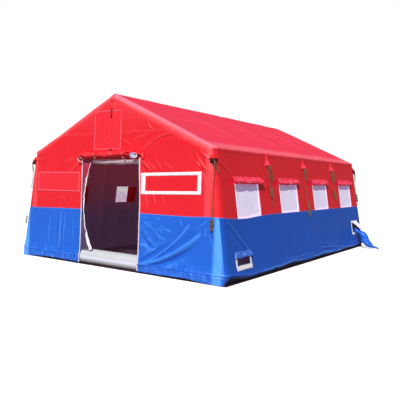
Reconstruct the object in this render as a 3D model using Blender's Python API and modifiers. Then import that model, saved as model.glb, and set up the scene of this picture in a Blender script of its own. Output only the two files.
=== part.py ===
"""Inflatable relief tent: air-filled arches, a two-colour cover, a hanging lining and its fittings.

Metres, +Z up. The origin is the middle of the floor, on the ground. The door is in the end at -Y.
"""

import math

import bmesh
import bpy
import numpy as np
from mathutils import Matrix, Vector

# Driving dimensions of the tent's outer shape
BASE_WIDTH = 5.10
BASE_LENGTH = 6.88
EAVE_HEIGHT = 2.155
RIDGE_HEIGHT = 3.17
SIDE_LEAN = 0.159  # inward run of a side wall for each metre of height
END_LEAN = 0.032
CORNER_BEVEL = 0.12
RIDGE_BEVEL = 0.05
COLOUR_SEAM_HEIGHT = 1.034
EAVE_SEAM_DROP = 0.065
END_SEAM_INSET = 0.004

# Cloth and clearances
COVER_THICKNESS = 0.002
LINING_THICKNESS = 0.002
FLOOR_THICKNESS = 0.003
FILM_THICKNESS = 0.0015
TRIM_THICKNESS = 0.003
GAP = 0.0003
SEAM_GAP = 0.0008
HEM_LIFT = 0.0005

# Air frame
ARCH_COUNT = 5
ARCH_PITCH = 1.63
ARCH_RADIUS = 0.13
ARCH_BEND = 0.16
ARCH_SIDES = 12
END_ARCH_CLEAR = 0.002
GROUND_TUBE_RADIUS = 0.14
GROUND_TUBE_SIDES = 16
PURLIN_RADIUS = 0.07
PURLIN_SIDES = 12
BEND_STEPS = 4

# Lining, hung inside the air frame
LINING_INSET = 0.30
LINING_BEVEL = 0.05
LINING_WINDOW_WIDTH = 0.68
LINING_WINDOW_SILL = 1.00
LINING_WINDOW_HEIGHT = 0.44

# Doorway in the front wall
DOOR_WIDTH = 1.49
DOOR_HEIGHT = 1.976
ZIP_ARC_RADIUS = 1.614
ZIP_ARC_HEIGHT = 1.175
ZIP_ARC_FROM_JAMB = 0.042
ZIP_ARC_STEPS = 16
SIDE_PANEL_SILL = 0.30
SIDE_PANEL_HEM = 0.012

# Windows, one in each bay of each side
WINDOW_WIDTH = 0.81
WINDOW_HEIGHT = 0.666
WINDOW_SEAM = 0.015

# Rolled and folded cloth: sheet thickness, outer radius of the roll, turns and space between turns
FLAP_HINGE_RISE = 0.015
FLAP_WIDTH = 0.94
FLAP_RUN = 0.115
FLAP_DROOP = 48.0
FLAP_SHEET = 0.004
FLAP_ROLL = 0.026
FLAP_TURNS = 1.25
HATCH_FLAP_WIDTH = 0.45
HATCH_FLAP_RUN = 0.10
HATCH_FLAP_ROLL = 0.018
DOOR_ROLL_TOP = 2.11
DOOR_ROLL_LEFT = 0.865
DOOR_ROLL_RIGHT = 0.60
DOOR_ROLL_TAIL = 0.08
DOOR_ROLL_RADIUS = 0.052
DOOR_ROLL_TURNS = 2.5
DOOR_ROLL_SHEET = 0.007
INNER_ROLL_TOP = 2.06
INNER_ROLL_LEFT = 0.52
INNER_ROLL_RIGHT = 0.70
INNER_ROLL_TAIL = 0.115
INNER_ROLL_RADIUS = 0.044
INNER_ROLL_TURNS = 2.5
INNER_ROLL_SHEET = 0.005
LAYER_SPACE = 0.004

# Hatches low in the right-hand wall
HATCH_FRAME_WIDTH = 0.47
HATCH_FRAME_HEIGHT = 0.29
HATCH_BAND = 0.065
FRONT_HATCH_Y = -2.825
FRONT_HATCH_SILL = 0.195
HATCH_HINGE_RISE = 0.015
REAR_HATCH_Y = 2.865
REAR_HATCH_SILL = 0.335
REAR_HATCH_HEIGHT = 0.35

# White tape frame on the front wall
TAPE_FRAME_WIDTH = 1.24
TAPE_FRAME_HEIGHT = 0.384
TAPE_FRAME_BAND = 0.066
TAPE_FRAME_X = 1.393
TAPE_FRAME_Z = 1.574

# Guy tabs and ropes
TAB_HEIGHT = 1.95
TAB_REACH = 0.085
TAB_RADIUS = 0.062
TAB_DROOP = 0.035
TAB_SINK = 0.001
CORNER_FIT = 0.0036  # the leaning corner's rounding lies this far inside a true quarter circle
ROPE_DIAMETER = 0.008
ROPE_SIDES = 6
ROPE_START_OFF = 0.07
PLUMB_OFF = 0.018
CORNER_ROPE_SHIFT = -0.017
ROPE_START_GAP = 0.0011
ROPE_TURN = 0.016
STRAND_SHIFT = 0.006
ROPE_KNEE = 0.05
HANK_OFF = 0.018
HANK_LOOPS = 3
HANK_BEND = 0.024
HANK_WRAPS = 1
WRAP_CORNER = 0.003
WRAP_RISE = 0.012
TURN_SPACE = 0.0016
# For each rope: where its doubled part ends, the hank's top and bottom, and the end of the tail
ROPE_HEIGHTS = (
    (0, 1.02, 0.85, 0.76),
    (1.70, 1.535, 1.35, 1.18),
    (1.72, 1.24, 0.94, 0.86),
    (1.67, 1.475, 1.285, 1.20),
    (1.70, 1.35, 1.15, 1.06),
    (0, 0.82, 0.66, 0.58),
    (1.70, 1.50, 1.31, 1.20),
    (1.71, 1.30, 1.05, 0.95),
    (1.68, 1.45, 1.26, 1.16),
    (1.70, 1.32, 1.13, 1.04),
)

# Duct sleeve and its drawstring: places are measured from the foot of the wall and the hatch
SLEEVE_NECK = 0.05
SLEEVE_MOUTH = 0.128
SLEEVE_RINGS = 12
SLEEVE_SIDES = 12
SLEEVE_ROUTE = (
    (0.12, 0.0, 0.40, 0.085),
    (0.22, 0.0, 0.21, 0.080),
    (0.34, -0.01, 0.095, 0.082),
    (0.47, -0.02, 0.052, 0.044),
    (0.55, -0.03, 0.022, 0.018),
)
STRING_DIAMETER = 0.005
STRING_HEIGHT = 0.004
STRING_POINTS = 28
STRING_ROUTE = ((0.66, -0.12), (0.76, -0.17), (0.85, -0.25), (0.95, -0.40))

# Inflation valve and relief valve on the rear ground tube
VALVE_X = 1.60
RELIEF_X = 1.25
VALVE_RADIUS = 0.034
VALVE_NECK_RADIUS = 0.024
VALVE_BASE_HEIGHT = 0.012
VALVE_SKIRT = 0.006
VALVE_NECK_HEIGHT = 0.022
CAP_RADIUS = 0.031
CAP_WALL = 0.004
RELIEF_RADIUS = 0.028
RELIEF_HEIGHT = 0.030
ROUND_STEPS = 20

# Lengths that follow from the ones above
SIDE_HYP = math.hypot(1, SIDE_LEAN)
END_HYP = math.hypot(1, END_LEAN)
EAVE_HALF_WIDTH = BASE_WIDTH / 2 - SIDE_LEAN * EAVE_HEIGHT
ROOF_SLOPE = (RIDGE_HEIGHT - EAVE_HEIGHT) / EAVE_HALF_WIDTH
ROOF_HYP = math.hypot(1, ROOF_SLOPE)
FLOOR_TOP = FLOOR_THICKNESS + GAP
LINING_HEM = FLOOR_TOP + HEM_LIFT
SKIN = COVER_THICKNESS + GAP
ARCH_INSET = SKIN + ARCH_RADIUS
END_ARCH_INSET = ARCH_INSET + END_ARCH_CLEAR
TUBE_HEIGHT = FLOOR_TOP + GROUND_TUBE_RADIUS
TUBE_INSET = SKIN + GROUND_TUBE_RADIUS
EAVE_SEAM_HEIGHT = EAVE_HEIGHT - EAVE_SEAM_DROP
HALF_TURN = math.pi
QUARTER_TURN = math.pi / 2
RIGHT, LEFT = 1, -1
FRONT, REAR = -1, 1


def side_x(z, inset=0.0):
    """Half width of the tent at a height, moved inwards by inset square to the side wall."""
    return BASE_WIDTH / 2 - inset * SIDE_HYP - SIDE_LEAN * z


def end_y(z, inset=0.0):
    """Half length of the tent at a height, moved inwards by inset square to the end wall."""
    return BASE_LENGTH / 2 - inset * END_HYP - END_LEAN * z


def roof_z(x, inset=0.0):
    return RIDGE_HEIGHT - inset * ROOF_HYP - ROOF_SLOPE * abs(x)


def eave_point(inset):
    """Where the side wall meets the roof, with both moved inwards by inset."""
    x = (side_x(0, inset) - SIDE_LEAN * roof_z(0, inset)) / (1 - SIDE_LEAN * ROOF_SLOPE)
    return x, roof_z(x, inset)


BAY_CENTRES = [ARCH_PITCH * (i - (ARCH_COUNT - 2) / 2) for i in range(ARCH_COUNT - 1)]
ARCH_STATIONS = [ARCH_PITCH * (i - (ARCH_COUNT - 1) / 2) for i in range(ARCH_COUNT)]


def clear_scene():
    for obj in list(bpy.data.objects):
        bpy.data.objects.remove(obj)


def make_collection(name):
    collection = bpy.data.collections.new(name)
    bpy.context.scene.collection.children.link(collection)
    return collection


clear_scene()
PARTS = make_collection("inflatable_relief_tent")
CUTTERS = make_collection("cutters")
CUTTERS.hide_render = True


def make_material(name, colour, roughness, metallic=0.0, alpha=1.0):
    material = bpy.data.materials.new(name)
    material.use_nodes = True
    shader = material.node_tree.nodes["Principled BSDF"]
    shader.inputs["Base Color"].default_value = (*colour, 1.0)
    shader.inputs["Roughness"].default_value = roughness
    shader.inputs["Metallic"].default_value = metallic
    shader.inputs["Alpha"].default_value = alpha
    return material


MATERIALS = {
    "air_tube": make_material("air_tube", (0.66, 0.70, 0.70), 0.35),
    "red_cover": make_material("red_cover", (0.80, 0.03, 0.05), 0.45),
    "blue_cover": make_material("blue_cover", (0.03, 0.15, 0.75), 0.45),
    "lining": make_material("lining", (0.12, 0.03, 0.05), 0.85),
    "floor_sheet": make_material("floor_sheet", (0.06, 0.05, 0.06), 0.7),
    "window_film": make_material("window_film", (0.72, 0.68, 0.88), 0.3),
    "white_tape": make_material("white_tape", (0.90, 0.86, 0.90), 0.5),
    "door_mesh": make_material("door_mesh", (0.55, 0.42, 0.58), 0.7),
    "rope": make_material("rope", (0.09, 0.08, 0.03), 0.8),
    "valve_plastic": make_material("valve_plastic", (0.05, 0.05, 0.05), 0.4),
}


def add_object(name, mesh, material):
    obj = bpy.data.objects.new(name, mesh)
    mesh.materials.clear()
    mesh.materials.append(MATERIALS[material])
    PARTS.objects.link(obj)
    return obj


def add_cutter(name, mesh):
    obj = bpy.data.objects.new(name, mesh)
    obj.display_type = "WIRE"
    obj.hide_render = True
    CUTTERS.objects.link(obj)
    return obj


def mesh_from(bm, name):
    bmesh.ops.recalc_face_normals(bm, faces=bm.faces[:])
    mesh = bpy.data.meshes.new(name)
    bm.to_mesh(mesh)
    bm.free()
    return mesh


def smooth(obj, degrees=35):
    obj.data.shade_smooth()
    obj.data.set_sharp_from_angle(angle=math.radians(degrees))


def solidify(obj, thickness):
    """Gives a sheet its thickness on the inner side only."""
    wall = obj.modifiers.new("wall", "SOLIDIFY")
    wall.thickness = thickness
    wall.offset = -1
    wall.use_even_offset = True


def boolean(obj, other, operation="DIFFERENCE"):
    cut = obj.modifiers.new(f"{operation.lower()}_{other.name}", "BOOLEAN")
    cut.operation = operation
    cut.solver = "EXACT"
    cut.object = other


def box_mesh(name, low, high):
    bm = bmesh.new()
    bmesh.ops.create_cube(bm, size=1.0)
    low, high = Vector(low), Vector(high)
    size = high - low
    bmesh.ops.scale(bm, vec=size, verts=bm.verts[:])
    bmesh.ops.translate(bm, vec=(low + high) / 2, verts=bm.verts[:])
    return mesh_from(bm, name)


def cylinder_mesh(name, radius, length, sides, end_bevel=0.0, bevel_steps=3):
    """A cylinder along local Z, centred, with rounded ends where end_bevel is given."""
    bm = bmesh.new()
    bmesh.ops.create_cone(
        bm, cap_ends=True, segments=sides, radius1=radius, radius2=radius, depth=length
    )
    if end_bevel:
        rims = [e for e in bm.edges if abs(e.verts[0].co.z - e.verts[1].co.z) < length / 2]
        bmesh.ops.bevel(
            bm, geom=rims, offset=end_bevel, segments=bevel_steps, profile=0.5,
            affect="EDGES", material=-1,
        )
    return mesh_from(bm, name)


def mesh_of_curve(curve_object):
    """Turns a curve object into a mesh with its end caps joined on."""
    graph = bpy.context.evaluated_depsgraph_get()
    mesh = bpy.data.meshes.new_from_object(curve_object.evaluated_get(graph))
    bm = bmesh.new()
    bm.from_mesh(mesh)
    bmesh.ops.remove_doubles(bm, verts=bm.verts[:], dist=1e-5)
    bmesh.ops.recalc_face_normals(bm, faces=bm.faces[:])
    bm.to_mesh(mesh)
    bm.free()
    bpy.data.objects.remove(curve_object)
    return mesh


def tube_mesh(name, points, radius, sides, radii=None):
    """A round tube along points. radii scales the radius at each point."""
    curve = bpy.data.curves.new(name, "CURVE")
    curve.dimensions = "3D"
    curve.bevel_depth = radius
    curve.bevel_resolution = sides // 2 - 2
    curve.use_fill_caps = True
    spline = curve.splines.new("POLY")
    spline.points.add(len(points) - 1)
    for i, point in enumerate(points):
        spline.points[i].co = (*point, 1)
        spline.points[i].radius = radii[i] if radii else 1.0
    holder = bpy.data.objects.new(name, curve)
    CUTTERS.objects.link(holder)
    bpy.context.view_layer.update()
    return mesh_of_curve(holder)


def plate_mesh(name, outlines, thickness):
    """A flat plate from closed outlines in local XY. A second outline inside the first is a hole."""
    curve = bpy.data.curves.new(name, "CURVE")
    curve.dimensions = "2D"
    curve.fill_mode = "BOTH"
    curve.extrude = thickness / 2
    for outline in outlines:
        spline = curve.splines.new("POLY")
        spline.points.add(len(outline) - 1)
        for i, (x, y) in enumerate(outline):
            spline.points[i].co = (x, y, 0, 1)
        spline.use_cyclic_u = True
    holder = bpy.data.objects.new(name, curve)
    CUTTERS.objects.link(holder)
    bpy.context.view_layer.update()
    return mesh_of_curve(holder)


def rectangle(width, height):
    return [
        (-width / 2, -height / 2),
        (width / 2, -height / 2),
        (width / 2, height / 2),
        (-width / 2, height / 2),
    ]


def side_matrix(side, y, z, off=0.0):
    """Local X runs along the side wall, local Y up it and local Z straight out of its outer face."""
    place = Matrix.Translation((side_x(z) + off * SIDE_HYP, side * y, z))
    lean = Matrix.Rotation(-math.atan(SIDE_LEAN), 4, "Y")
    upright = Matrix.Rotation(QUARTER_TURN, 4, "Z") @ Matrix.Rotation(QUARTER_TURN, 4, "X")
    turn = Matrix.Rotation(0 if side == RIGHT else HALF_TURN, 4, "Z")
    return turn @ place @ lean @ upright


def front_matrix(x, z, off=0.0):
    """Local X runs along the front wall, local Y up it and local Z straight out of its outer face."""
    place = Matrix.Translation((x, -end_y(z) - off * END_HYP, z))
    lean = Matrix.Rotation(-math.atan(END_LEAN), 4, "X")
    return place @ lean @ Matrix.Rotation(QUARTER_TURN, 4, "X")


def roll_matrix(hinge, heading):
    """Local X points the way the cloth stands out, local Y up and local Z along the hinge."""
    return (
        Matrix.Translation(hinge)
        @ Matrix.Rotation(heading, 4, "Z")
        @ Matrix.Rotation(QUARTER_TURN, 4, "X")
    )


def tent_sheet(inset, floor, corner_bevel, ridge_bevel):
    """The tent's outer form as an open sheet: two sides, two ends and the roof, open at the floor."""
    bm = bmesh.new()
    bmesh.ops.create_cube(bm, size=2.0)
    for vert in bm.verts:
        z = eave_point(inset)[1] if vert.co.z > 0 else floor
        x = math.copysign(side_x(z, inset), vert.co.x)
        y = math.copysign(end_y(z, inset), vert.co.y)
        vert.co = (x, y, z)
    gable_edges = [
        e for e in bm.edges
        if min(v.co.z for v in e.verts) > EAVE_HEIGHT / 2 and e.verts[0].co.y * e.verts[1].co.y > 0
    ]
    bmesh.ops.subdivide_edges(bm, edges=gable_edges, cuts=1)
    ridge_height = roof_z(0, inset)
    for vert in bm.verts:
        if abs(vert.co.x) < GAP:
            vert.co.y = math.copysign(end_y(ridge_height, inset), vert.co.y)
            vert.co.z = ridge_height
    ground = [f for f in bm.faces if max(v.co.z for v in f.verts) <= floor + GAP]
    bmesh.ops.delete(bm, geom=ground, context="FACES_ONLY")
    bmesh.ops.recalc_face_normals(bm, faces=bm.faces[:])
    ridge = [e for e in bm.edges if all(abs(v.co.x) < GAP for v in e.verts)]
    bmesh.ops.bevel(
        bm, geom=ridge, offset=ridge_bevel, segments=2, profile=0.5, affect="EDGES", material=-1
    )
    folds = [e for e in bm.edges if not e.is_boundary and e.calc_face_angle() > 0.7]
    bmesh.ops.bevel(
        bm, geom=folds, offset=corner_bevel, segments=BEND_STEPS, profile=0.5,
        affect="EDGES", material=-1,
    )
    return bm


def keep_below(bm, point, normal):
    """Cuts away what lies beyond a plane, on the side its normal points to."""
    bmesh.ops.bisect_plane(
        bm, geom=bm.verts[:] + bm.edges[:] + bm.faces[:], plane_co=point, plane_no=normal,
        clear_outer=True,
    )


def cover_panel(name, material, planes):
    """One panel of the cover, cut from the tent's outer form by planes."""
    bm = tent_sheet(0.0, HEM_LIFT, CORNER_BEVEL, RIDGE_BEVEL)
    for point, normal in planes:
        keep_below(bm, point, normal)
    mesh = bpy.data.meshes.new(name)
    bm.to_mesh(mesh)
    bm.free()
    panel = add_object(name, mesh, material)
    solidify(panel, COVER_THICKNESS)
    smooth(panel)
    return panel


def end_plane(end, side_of_seam):
    """The seam plane between an end wall and the rest, half a seam gap to one side of the seam."""
    point = (0, end * end_y(0, END_SEAM_INSET + side_of_seam * SEAM_GAP / 2), 0)
    return point, (0, end, END_LEAN)


def level(height, direction):
    return (0, 0, height - direction * SEAM_GAP / 2), (0, 0, direction)


def make_cover():
    """The panels of the outer cover with their door, window and hatch openings."""
    roof_planes = [level(EAVE_SEAM_HEIGHT, -1), end_plane(FRONT, 1), end_plane(REAR, 1)]
    cover_panel("roof_cover", "red_cover", roof_planes)

    for end, name in ((FRONT, "front_wall"), (REAR, "rear_wall")):
        point, normal = end_plane(end, -1)
        inward = [-n for n in normal]
        wall = cover_panel(name, "red_cover", [level(COLOUR_SEAM_HEIGHT, -1), (point, inward)])
        if end == FRONT:
            boolean(wall, door_cutter())

    for side, name in ((RIGHT, "right_wall"), (LEFT, "left_wall")):
        planes = [
            level(COLOUR_SEAM_HEIGHT, -1),
            level(EAVE_SEAM_HEIGHT, 1),
            end_plane(FRONT, 1),
            end_plane(REAR, 1),
            ((0, 0, 0), (-side, 0, 0)),
        ]
        wall = cover_panel(name, "red_cover", planes)
        for bay, y in enumerate(BAY_CENTRES, start=1):
            low = (side * EAVE_HALF_WIDTH * 0.9, y - WINDOW_WIDTH / 2, COLOUR_SEAM_HEIGHT - 0.05)
            high = (side * BASE_WIDTH * 0.6, y + WINDOW_WIDTH / 2, window_top())
            low, high = np.minimum(low, high), np.maximum(low, high)
            boolean(wall, add_cutter(f"{name}_window_{bay}", box_mesh("window_hole", low, high)))
        for station in range(ARCH_COUNT):
            boolean(wall, guy_tab(side, station), "UNION")

    skirt = cover_panel("skirt", "blue_cover", [level(COLOUR_SEAM_HEIGHT, 1)])
    boolean(skirt, door_cutter())
    for y, sill, height in hatch_sizes():
        boolean(skirt, hatch_cutter(y, sill, height))


def window_top():
    return COLOUR_SEAM_HEIGHT + WINDOW_HEIGHT


def door_cutter():
    low = (-DOOR_WIDTH / 2, -BASE_LENGTH * 0.6, -0.1)
    high = (DOOR_WIDTH / 2, -BASE_LENGTH * 0.4, DOOR_HEIGHT)
    return add_cutter("door_hole", box_mesh("door_hole", low, high))


def hatch_sizes():
    """(y, sill height, height) of each hatch's tape frame."""
    return (
        (FRONT_HATCH_Y, FRONT_HATCH_SILL, HATCH_FRAME_HEIGHT),
        (REAR_HATCH_Y, REAR_HATCH_SILL, REAR_HATCH_HEIGHT),
    )


def hatch_cutter(y, sill, height):
    """A hole the size of the tape frame's inside, through the cover and the lining."""
    half = HATCH_FRAME_WIDTH / 2 - HATCH_BAND
    low = (BASE_WIDTH * 0.4, y - half, sill + HATCH_BAND)
    high = (BASE_WIDTH * 0.6, y + half, sill + height - HATCH_BAND)
    return add_cutter("hatch_hole", box_mesh("hatch_hole", low, high))


def tab_frame(side, station):
    """Matrix of a guy tab: local Z points out of the cover, local Y up it."""
    end = (station > ARCH_COUNT // 2) - (station < ARCH_COUNT // 2)
    at_corner = station in (0, ARCH_COUNT - 1)
    if not at_corner:
        return side_matrix(side, ARCH_STATIONS[station], TAB_HEIGHT)
    centre_x = side * (side_x(TAB_HEIGHT) - CORNER_BEVEL)
    centre_y = end * (end_y(TAB_HEIGHT) - CORNER_BEVEL)
    out = Vector((side, end, 0)).normalized()
    point = Vector((centre_x, centre_y, TAB_HEIGHT)) + out * (CORNER_BEVEL - CORNER_FIT)
    heading = math.atan2(out.y, out.x)
    lean = Matrix.Rotation(-math.atan((SIDE_LEAN + END_LEAN) / math.sqrt(2)), 4, "Y")
    upright = Matrix.Rotation(QUARTER_TURN, 4, "Z") @ Matrix.Rotation(QUARTER_TURN, 4, "X")
    return Matrix.Translation(point) @ Matrix.Rotation(heading, 4, "Z") @ lean @ upright


def guy_tab(side, station):
    """A folded triangle of cloth whose tip stands out and droops, where a guy rope is tied."""
    bm = bmesh.new()
    bmesh.ops.create_cone(
        bm, cap_ends=True, segments=3, radius1=TAB_RADIUS, radius2=0, depth=TAB_REACH
    )
    bmesh.ops.remove_doubles(bm, verts=bm.verts[:], dist=1e-6)
    tip = max(bm.verts, key=lambda v: v.co.z)
    base = [v for v in bm.verts if v is not tip]
    peak = max(base, key=lambda v: v.co.y)
    peak.co.y += TAB_DROOP
    tip.co.y -= TAB_DROOP
    bmesh.ops.translate(bm, vec=(0, 0, TAB_REACH / 2 - TAB_SINK), verts=bm.verts[:])
    cutter = add_cutter(f"tab_{side}_{station}", mesh_from(bm, "guy_tab"))
    cutter.matrix_world = tab_frame(side, station)
    return cutter


def fillet(corner, before, after, radius, steps):
    """Points of an arc that rounds one corner of a line in the XZ plane."""
    corner, before, after = Vector(corner), Vector(before), Vector(after)
    back = (before - corner).normalized()
    ahead = (after - corner).normalized()
    half_angle = back.angle(ahead) / 2
    centre = corner + (back + ahead).normalized() * radius / math.sin(half_angle)
    start = corner + back * radius / math.tan(half_angle) - centre
    sweep = math.pi - 2 * half_angle
    turn = math.copysign(1, back.x * ahead.y - back.y * ahead.x)
    points = []
    for i in range(steps + 1):
        angle = -turn * sweep * i / steps
        cos, sin = math.cos(angle), math.sin(angle)
        points.append(centre + Vector((start.x * cos - start.y * sin, start.x * sin + start.y * cos)))
    return [tuple(p) for p in points]


def arch_line():
    """Centre line of an arch in (x, z), from the left foot over the ridge to the right foot."""
    eave = eave_point(ARCH_INSET)
    ridge = (0.0, roof_z(0, ARCH_INSET))
    foot = (side_x(TUBE_HEIGHT, ARCH_INSET), TUBE_HEIGHT)
    right = [foot] + fillet(eave, foot, ridge, ARCH_BEND, BEND_STEPS)
    left = [(-x, z) for x, z in right]
    top = fillet(ridge, (-eave[0], eave[1]), eave, ARCH_BEND, BEND_STEPS)
    return left + top + right[::-1]


def arch_mesh(name, radius):
    return tube_mesh(name, [(x, 0, z) for x, z in arch_line()], radius, ARCH_SIDES)


def stand_arch(obj, station):
    """The end arches lean with the end walls, and the others stand upright."""
    end = (station == ARCH_COUNT - 1) - (station == 0)
    obj.location = (0, end * end_y(0, END_ARCH_INSET) if end else ARCH_STATIONS[station], 0)
    obj.rotation_euler = (end * math.atan(END_LEAN), 0, 0)


def purlin_places():
    """(name, x, z) of the tubes that run along the tent through every arch."""
    bend = math.atan(ROOF_SLOPE)
    ridge_drop = ARCH_BEND * (1 / math.cos(bend) - 1)
    eave_x, eave_z = eave_point(ARCH_INSET)
    turn = QUARTER_TURN - math.atan(SIDE_LEAN) - bend
    cut = ARCH_BEND * (1 / math.cos(turn / 2) - 1)
    inward = Vector((-SIDE_LEAN, 1)).normalized() * -1 + Vector((-1, ROOF_SLOPE)).normalized()
    step = inward.normalized() * cut
    x, z = eave_x + step.x, eave_z + step.y
    return (
        ("ridge_tube", 0.0, roof_z(0, ARCH_INSET) - ridge_drop),
        ("eave_tube_right", x, z),
        ("eave_tube_left", -x, z),
    )


def lay_along_y(obj, x, z):
    obj.matrix_world = Matrix.Translation((x, 0, z)) @ Matrix.Rotation(QUARTER_TURN, 4, "X")


def side_tube_x():
    return side_x(TUBE_HEIGHT, TUBE_INSET)


def side_tube_mesh(extra):
    length = 2 * (end_y(TUBE_HEIGHT + GROUND_TUBE_RADIUS / 3, SKIN) + extra)
    radius = GROUND_TUBE_RADIUS + extra
    return cylinder_mesh("side_tube", radius, length, GROUND_TUBE_SIDES, CORNER_BEVEL)


def make_air_frame():
    """Five arches on a ring of ground tubes, tied together by a ridge tube and two eave tubes."""
    purlins = purlin_places()
    foot_cutters = []
    for side in (RIGHT, LEFT):
        cutter = add_cutter(f"side_tube_cut_{side}", side_tube_mesh(GAP / math.cos(math.pi / 16)))
        lay_along_y(cutter, side * side_tube_x(), TUBE_HEIGHT)
        foot_cutters.append(cutter)
    bores = []
    for name, x, z in purlins:
        bore = cylinder_mesh("bore", PURLIN_RADIUS + 1.1 * GAP, BASE_LENGTH, PURLIN_SIDES)
        bores.append(add_cutter(f"{name}_bore", bore))
        lay_along_y(bores[-1], x, z)

    for station in range(ARCH_COUNT):
        arch = add_object(f"arch_{station + 1}", arch_mesh("arch", ARCH_RADIUS), "air_tube")
        stand_arch(arch, station)
        for cutter in foot_cutters + bores:
            boolean(arch, cutter)
        smooth(arch)

    for name, x, z in purlins:
        length = 2 * end_y(z, SKIN) - CORNER_BEVEL
        tube = add_object(
            name, cylinder_mesh(name, PURLIN_RADIUS, length, PURLIN_SIDES, PURLIN_RADIUS / 3), "air_tube"
        )
        lay_along_y(tube, x, z)
        smooth(tube)

    for side, name in ((RIGHT, "ground_tube_right"), (LEFT, "ground_tube_left")):
        tube = add_object(name, side_tube_mesh(0.0), "air_tube")
        lay_along_y(tube, side * side_tube_x(), TUBE_HEIGHT)
        smooth(tube)

    for end, name in ((FRONT, "ground_tube_front"), (REAR, "ground_tube_rear")):
        mesh = cylinder_mesh(name, GROUND_TUBE_RADIUS, 2 * side_tube_x(), GROUND_TUBE_SIDES)
        tube = add_object(name, mesh, "air_tube")
        y = end * end_y(TUBE_HEIGHT, TUBE_INSET)
        tube.matrix_world = Matrix.Translation((0, y, TUBE_HEIGHT)) @ Matrix.Rotation(
            QUARTER_TURN, 4, "Y"
        )
        arch_cutter = add_cutter(f"{name}_leg_cut", arch_mesh("leg_cut", ARCH_RADIUS + 1.1 * GAP))
        stand_arch(arch_cutter, 0 if end == FRONT else ARCH_COUNT - 1)
        for cutter in foot_cutters + [arch_cutter]:
            boolean(tube, cutter)
        smooth(tube)


def make_lining():
    """The inner tent: one thin skin hung inside the arches, open at the floor, the door and windows."""
    bm = tent_sheet(LINING_INSET, LINING_HEM, LINING_BEVEL, LINING_BEVEL)
    mesh = bpy.data.meshes.new("inner_lining")
    bm.to_mesh(mesh)
    bm.free()
    lining = add_object("inner_lining", mesh, "lining")
    solidify(lining, LINING_THICKNESS)
    boolean(lining, door_cutter())
    half = LINING_WINDOW_WIDTH / 2
    for bay, y in enumerate(BAY_CENTRES, start=1):
        low = (-BASE_WIDTH, y - half, LINING_WINDOW_SILL)
        high = (BASE_WIDTH, y + half, LINING_WINDOW_SILL + LINING_WINDOW_HEIGHT)
        boolean(lining, add_cutter(f"lining_window_{bay}", box_mesh("lining_hole", low, high)))
    for y, sill, height in hatch_sizes():
        boolean(lining, hatch_cutter(y, sill, height))
    smooth(lining)


def make_floor():
    half_x = side_x(FLOOR_THICKNESS, SKIN)
    half_y = end_y(FLOOR_THICKNESS, SKIN)
    bm = bmesh.new()
    bmesh.ops.create_cube(bm, size=1.0)
    bmesh.ops.scale(bm, vec=(2 * half_x, 2 * half_y, FLOOR_THICKNESS), verts=bm.verts[:])
    bmesh.ops.translate(bm, vec=(0, 0, FLOOR_THICKNESS / 2), verts=bm.verts[:])
    corners = [e for e in bm.edges if abs(e.verts[0].co.z - e.verts[1].co.z) > GAP]
    bmesh.ops.bevel(
        bm, geom=corners, offset=CORNER_BEVEL, segments=BEND_STEPS, profile=0.5,
        affect="EDGES", material=-1,
    )
    add_object("ground_sheet", mesh_from(bm, "ground_sheet"), "floor_sheet")


def make_windows():
    """A clear pane behind each window opening, overlapping the cover by a seam all round."""
    top = window_top() + WINDOW_SEAM
    bottom = COLOUR_SEAM_HEIGHT - WINDOW_SEAM
    centre = (top + bottom) / 2
    height = (top - bottom) * SIDE_HYP
    off = -(SKIN + FILM_THICKNESS / 2)
    for side, side_name in ((RIGHT, "right"), (LEFT, "left")):
        for bay, y in enumerate(BAY_CENTRES, start=1):
            outline = rectangle(WINDOW_WIDTH + 2 * WINDOW_SEAM, height)
            name = f"window_pane_{side_name}_{bay}"
            pane = add_object(name, plate_mesh(name, [outline], FILM_THICKNESS), "window_film")
            pane.matrix_world = side_matrix(side, y, centre, off)


def rolled_outline(run, droop, radius, turns, sheet, curl, steps_per_turn=14):
    """Outline of a sheet that runs straight from a seam, then curls into a roll.

    droop is the angle in degrees by which the straight run falls below level. The sheet curls
    towards its underside where curl is 1, and towards its upper side where curl is -1.
    """
    along = np.array([math.cos(math.radians(droop)), -math.sin(math.radians(droop))])
    under = curl * np.array([along[1], -along[0]])
    end = along * run
    centre = end + under * radius
    line = [np.zeros(2)]
    normals = [-under]
    pitch = sheet + LAYER_SPACE
    count = math.ceil(turns * steps_per_turn)
    for i in range(count + 1):
        turn = 2 * math.pi * turns * i / count
        r = radius - pitch * turn / (2 * math.pi)
        spoke = -under * math.cos(turn) + along * math.sin(turn)
        line.append(centre + spoke * r)
        normals.append(spoke)
    outer = [tuple(p + n * sheet / 2) for p, n in zip(line, normals)]
    inner = [tuple(p - n * sheet / 2) for p, n in zip(line, normals)]
    return outer + inner[::-1]


def make_window_flaps():
    """The red flap over each window, rolled up into a short awning that hangs from its sewn top edge."""
    outline = rolled_outline(FLAP_RUN, FLAP_DROOP, FLAP_ROLL, FLAP_TURNS, FLAP_SHEET, 1)
    z = window_top() + FLAP_HINGE_RISE
    for side, side_name in ((RIGHT, "right"), (LEFT, "left")):
        for bay, y in enumerate(BAY_CENTRES, start=1):
            name = f"window_flap_{side_name}_{bay}"
            flap = add_object(name, plate_mesh(name, [outline], FLAP_WIDTH), "red_cover")
            hinge = (side * (side_x(z) + FLAP_SHEET / 2 + GAP), y, z)
            flap.matrix_world = roll_matrix(hinge, 0 if side == RIGHT else HALF_TURN)
            smooth(flap)


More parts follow.
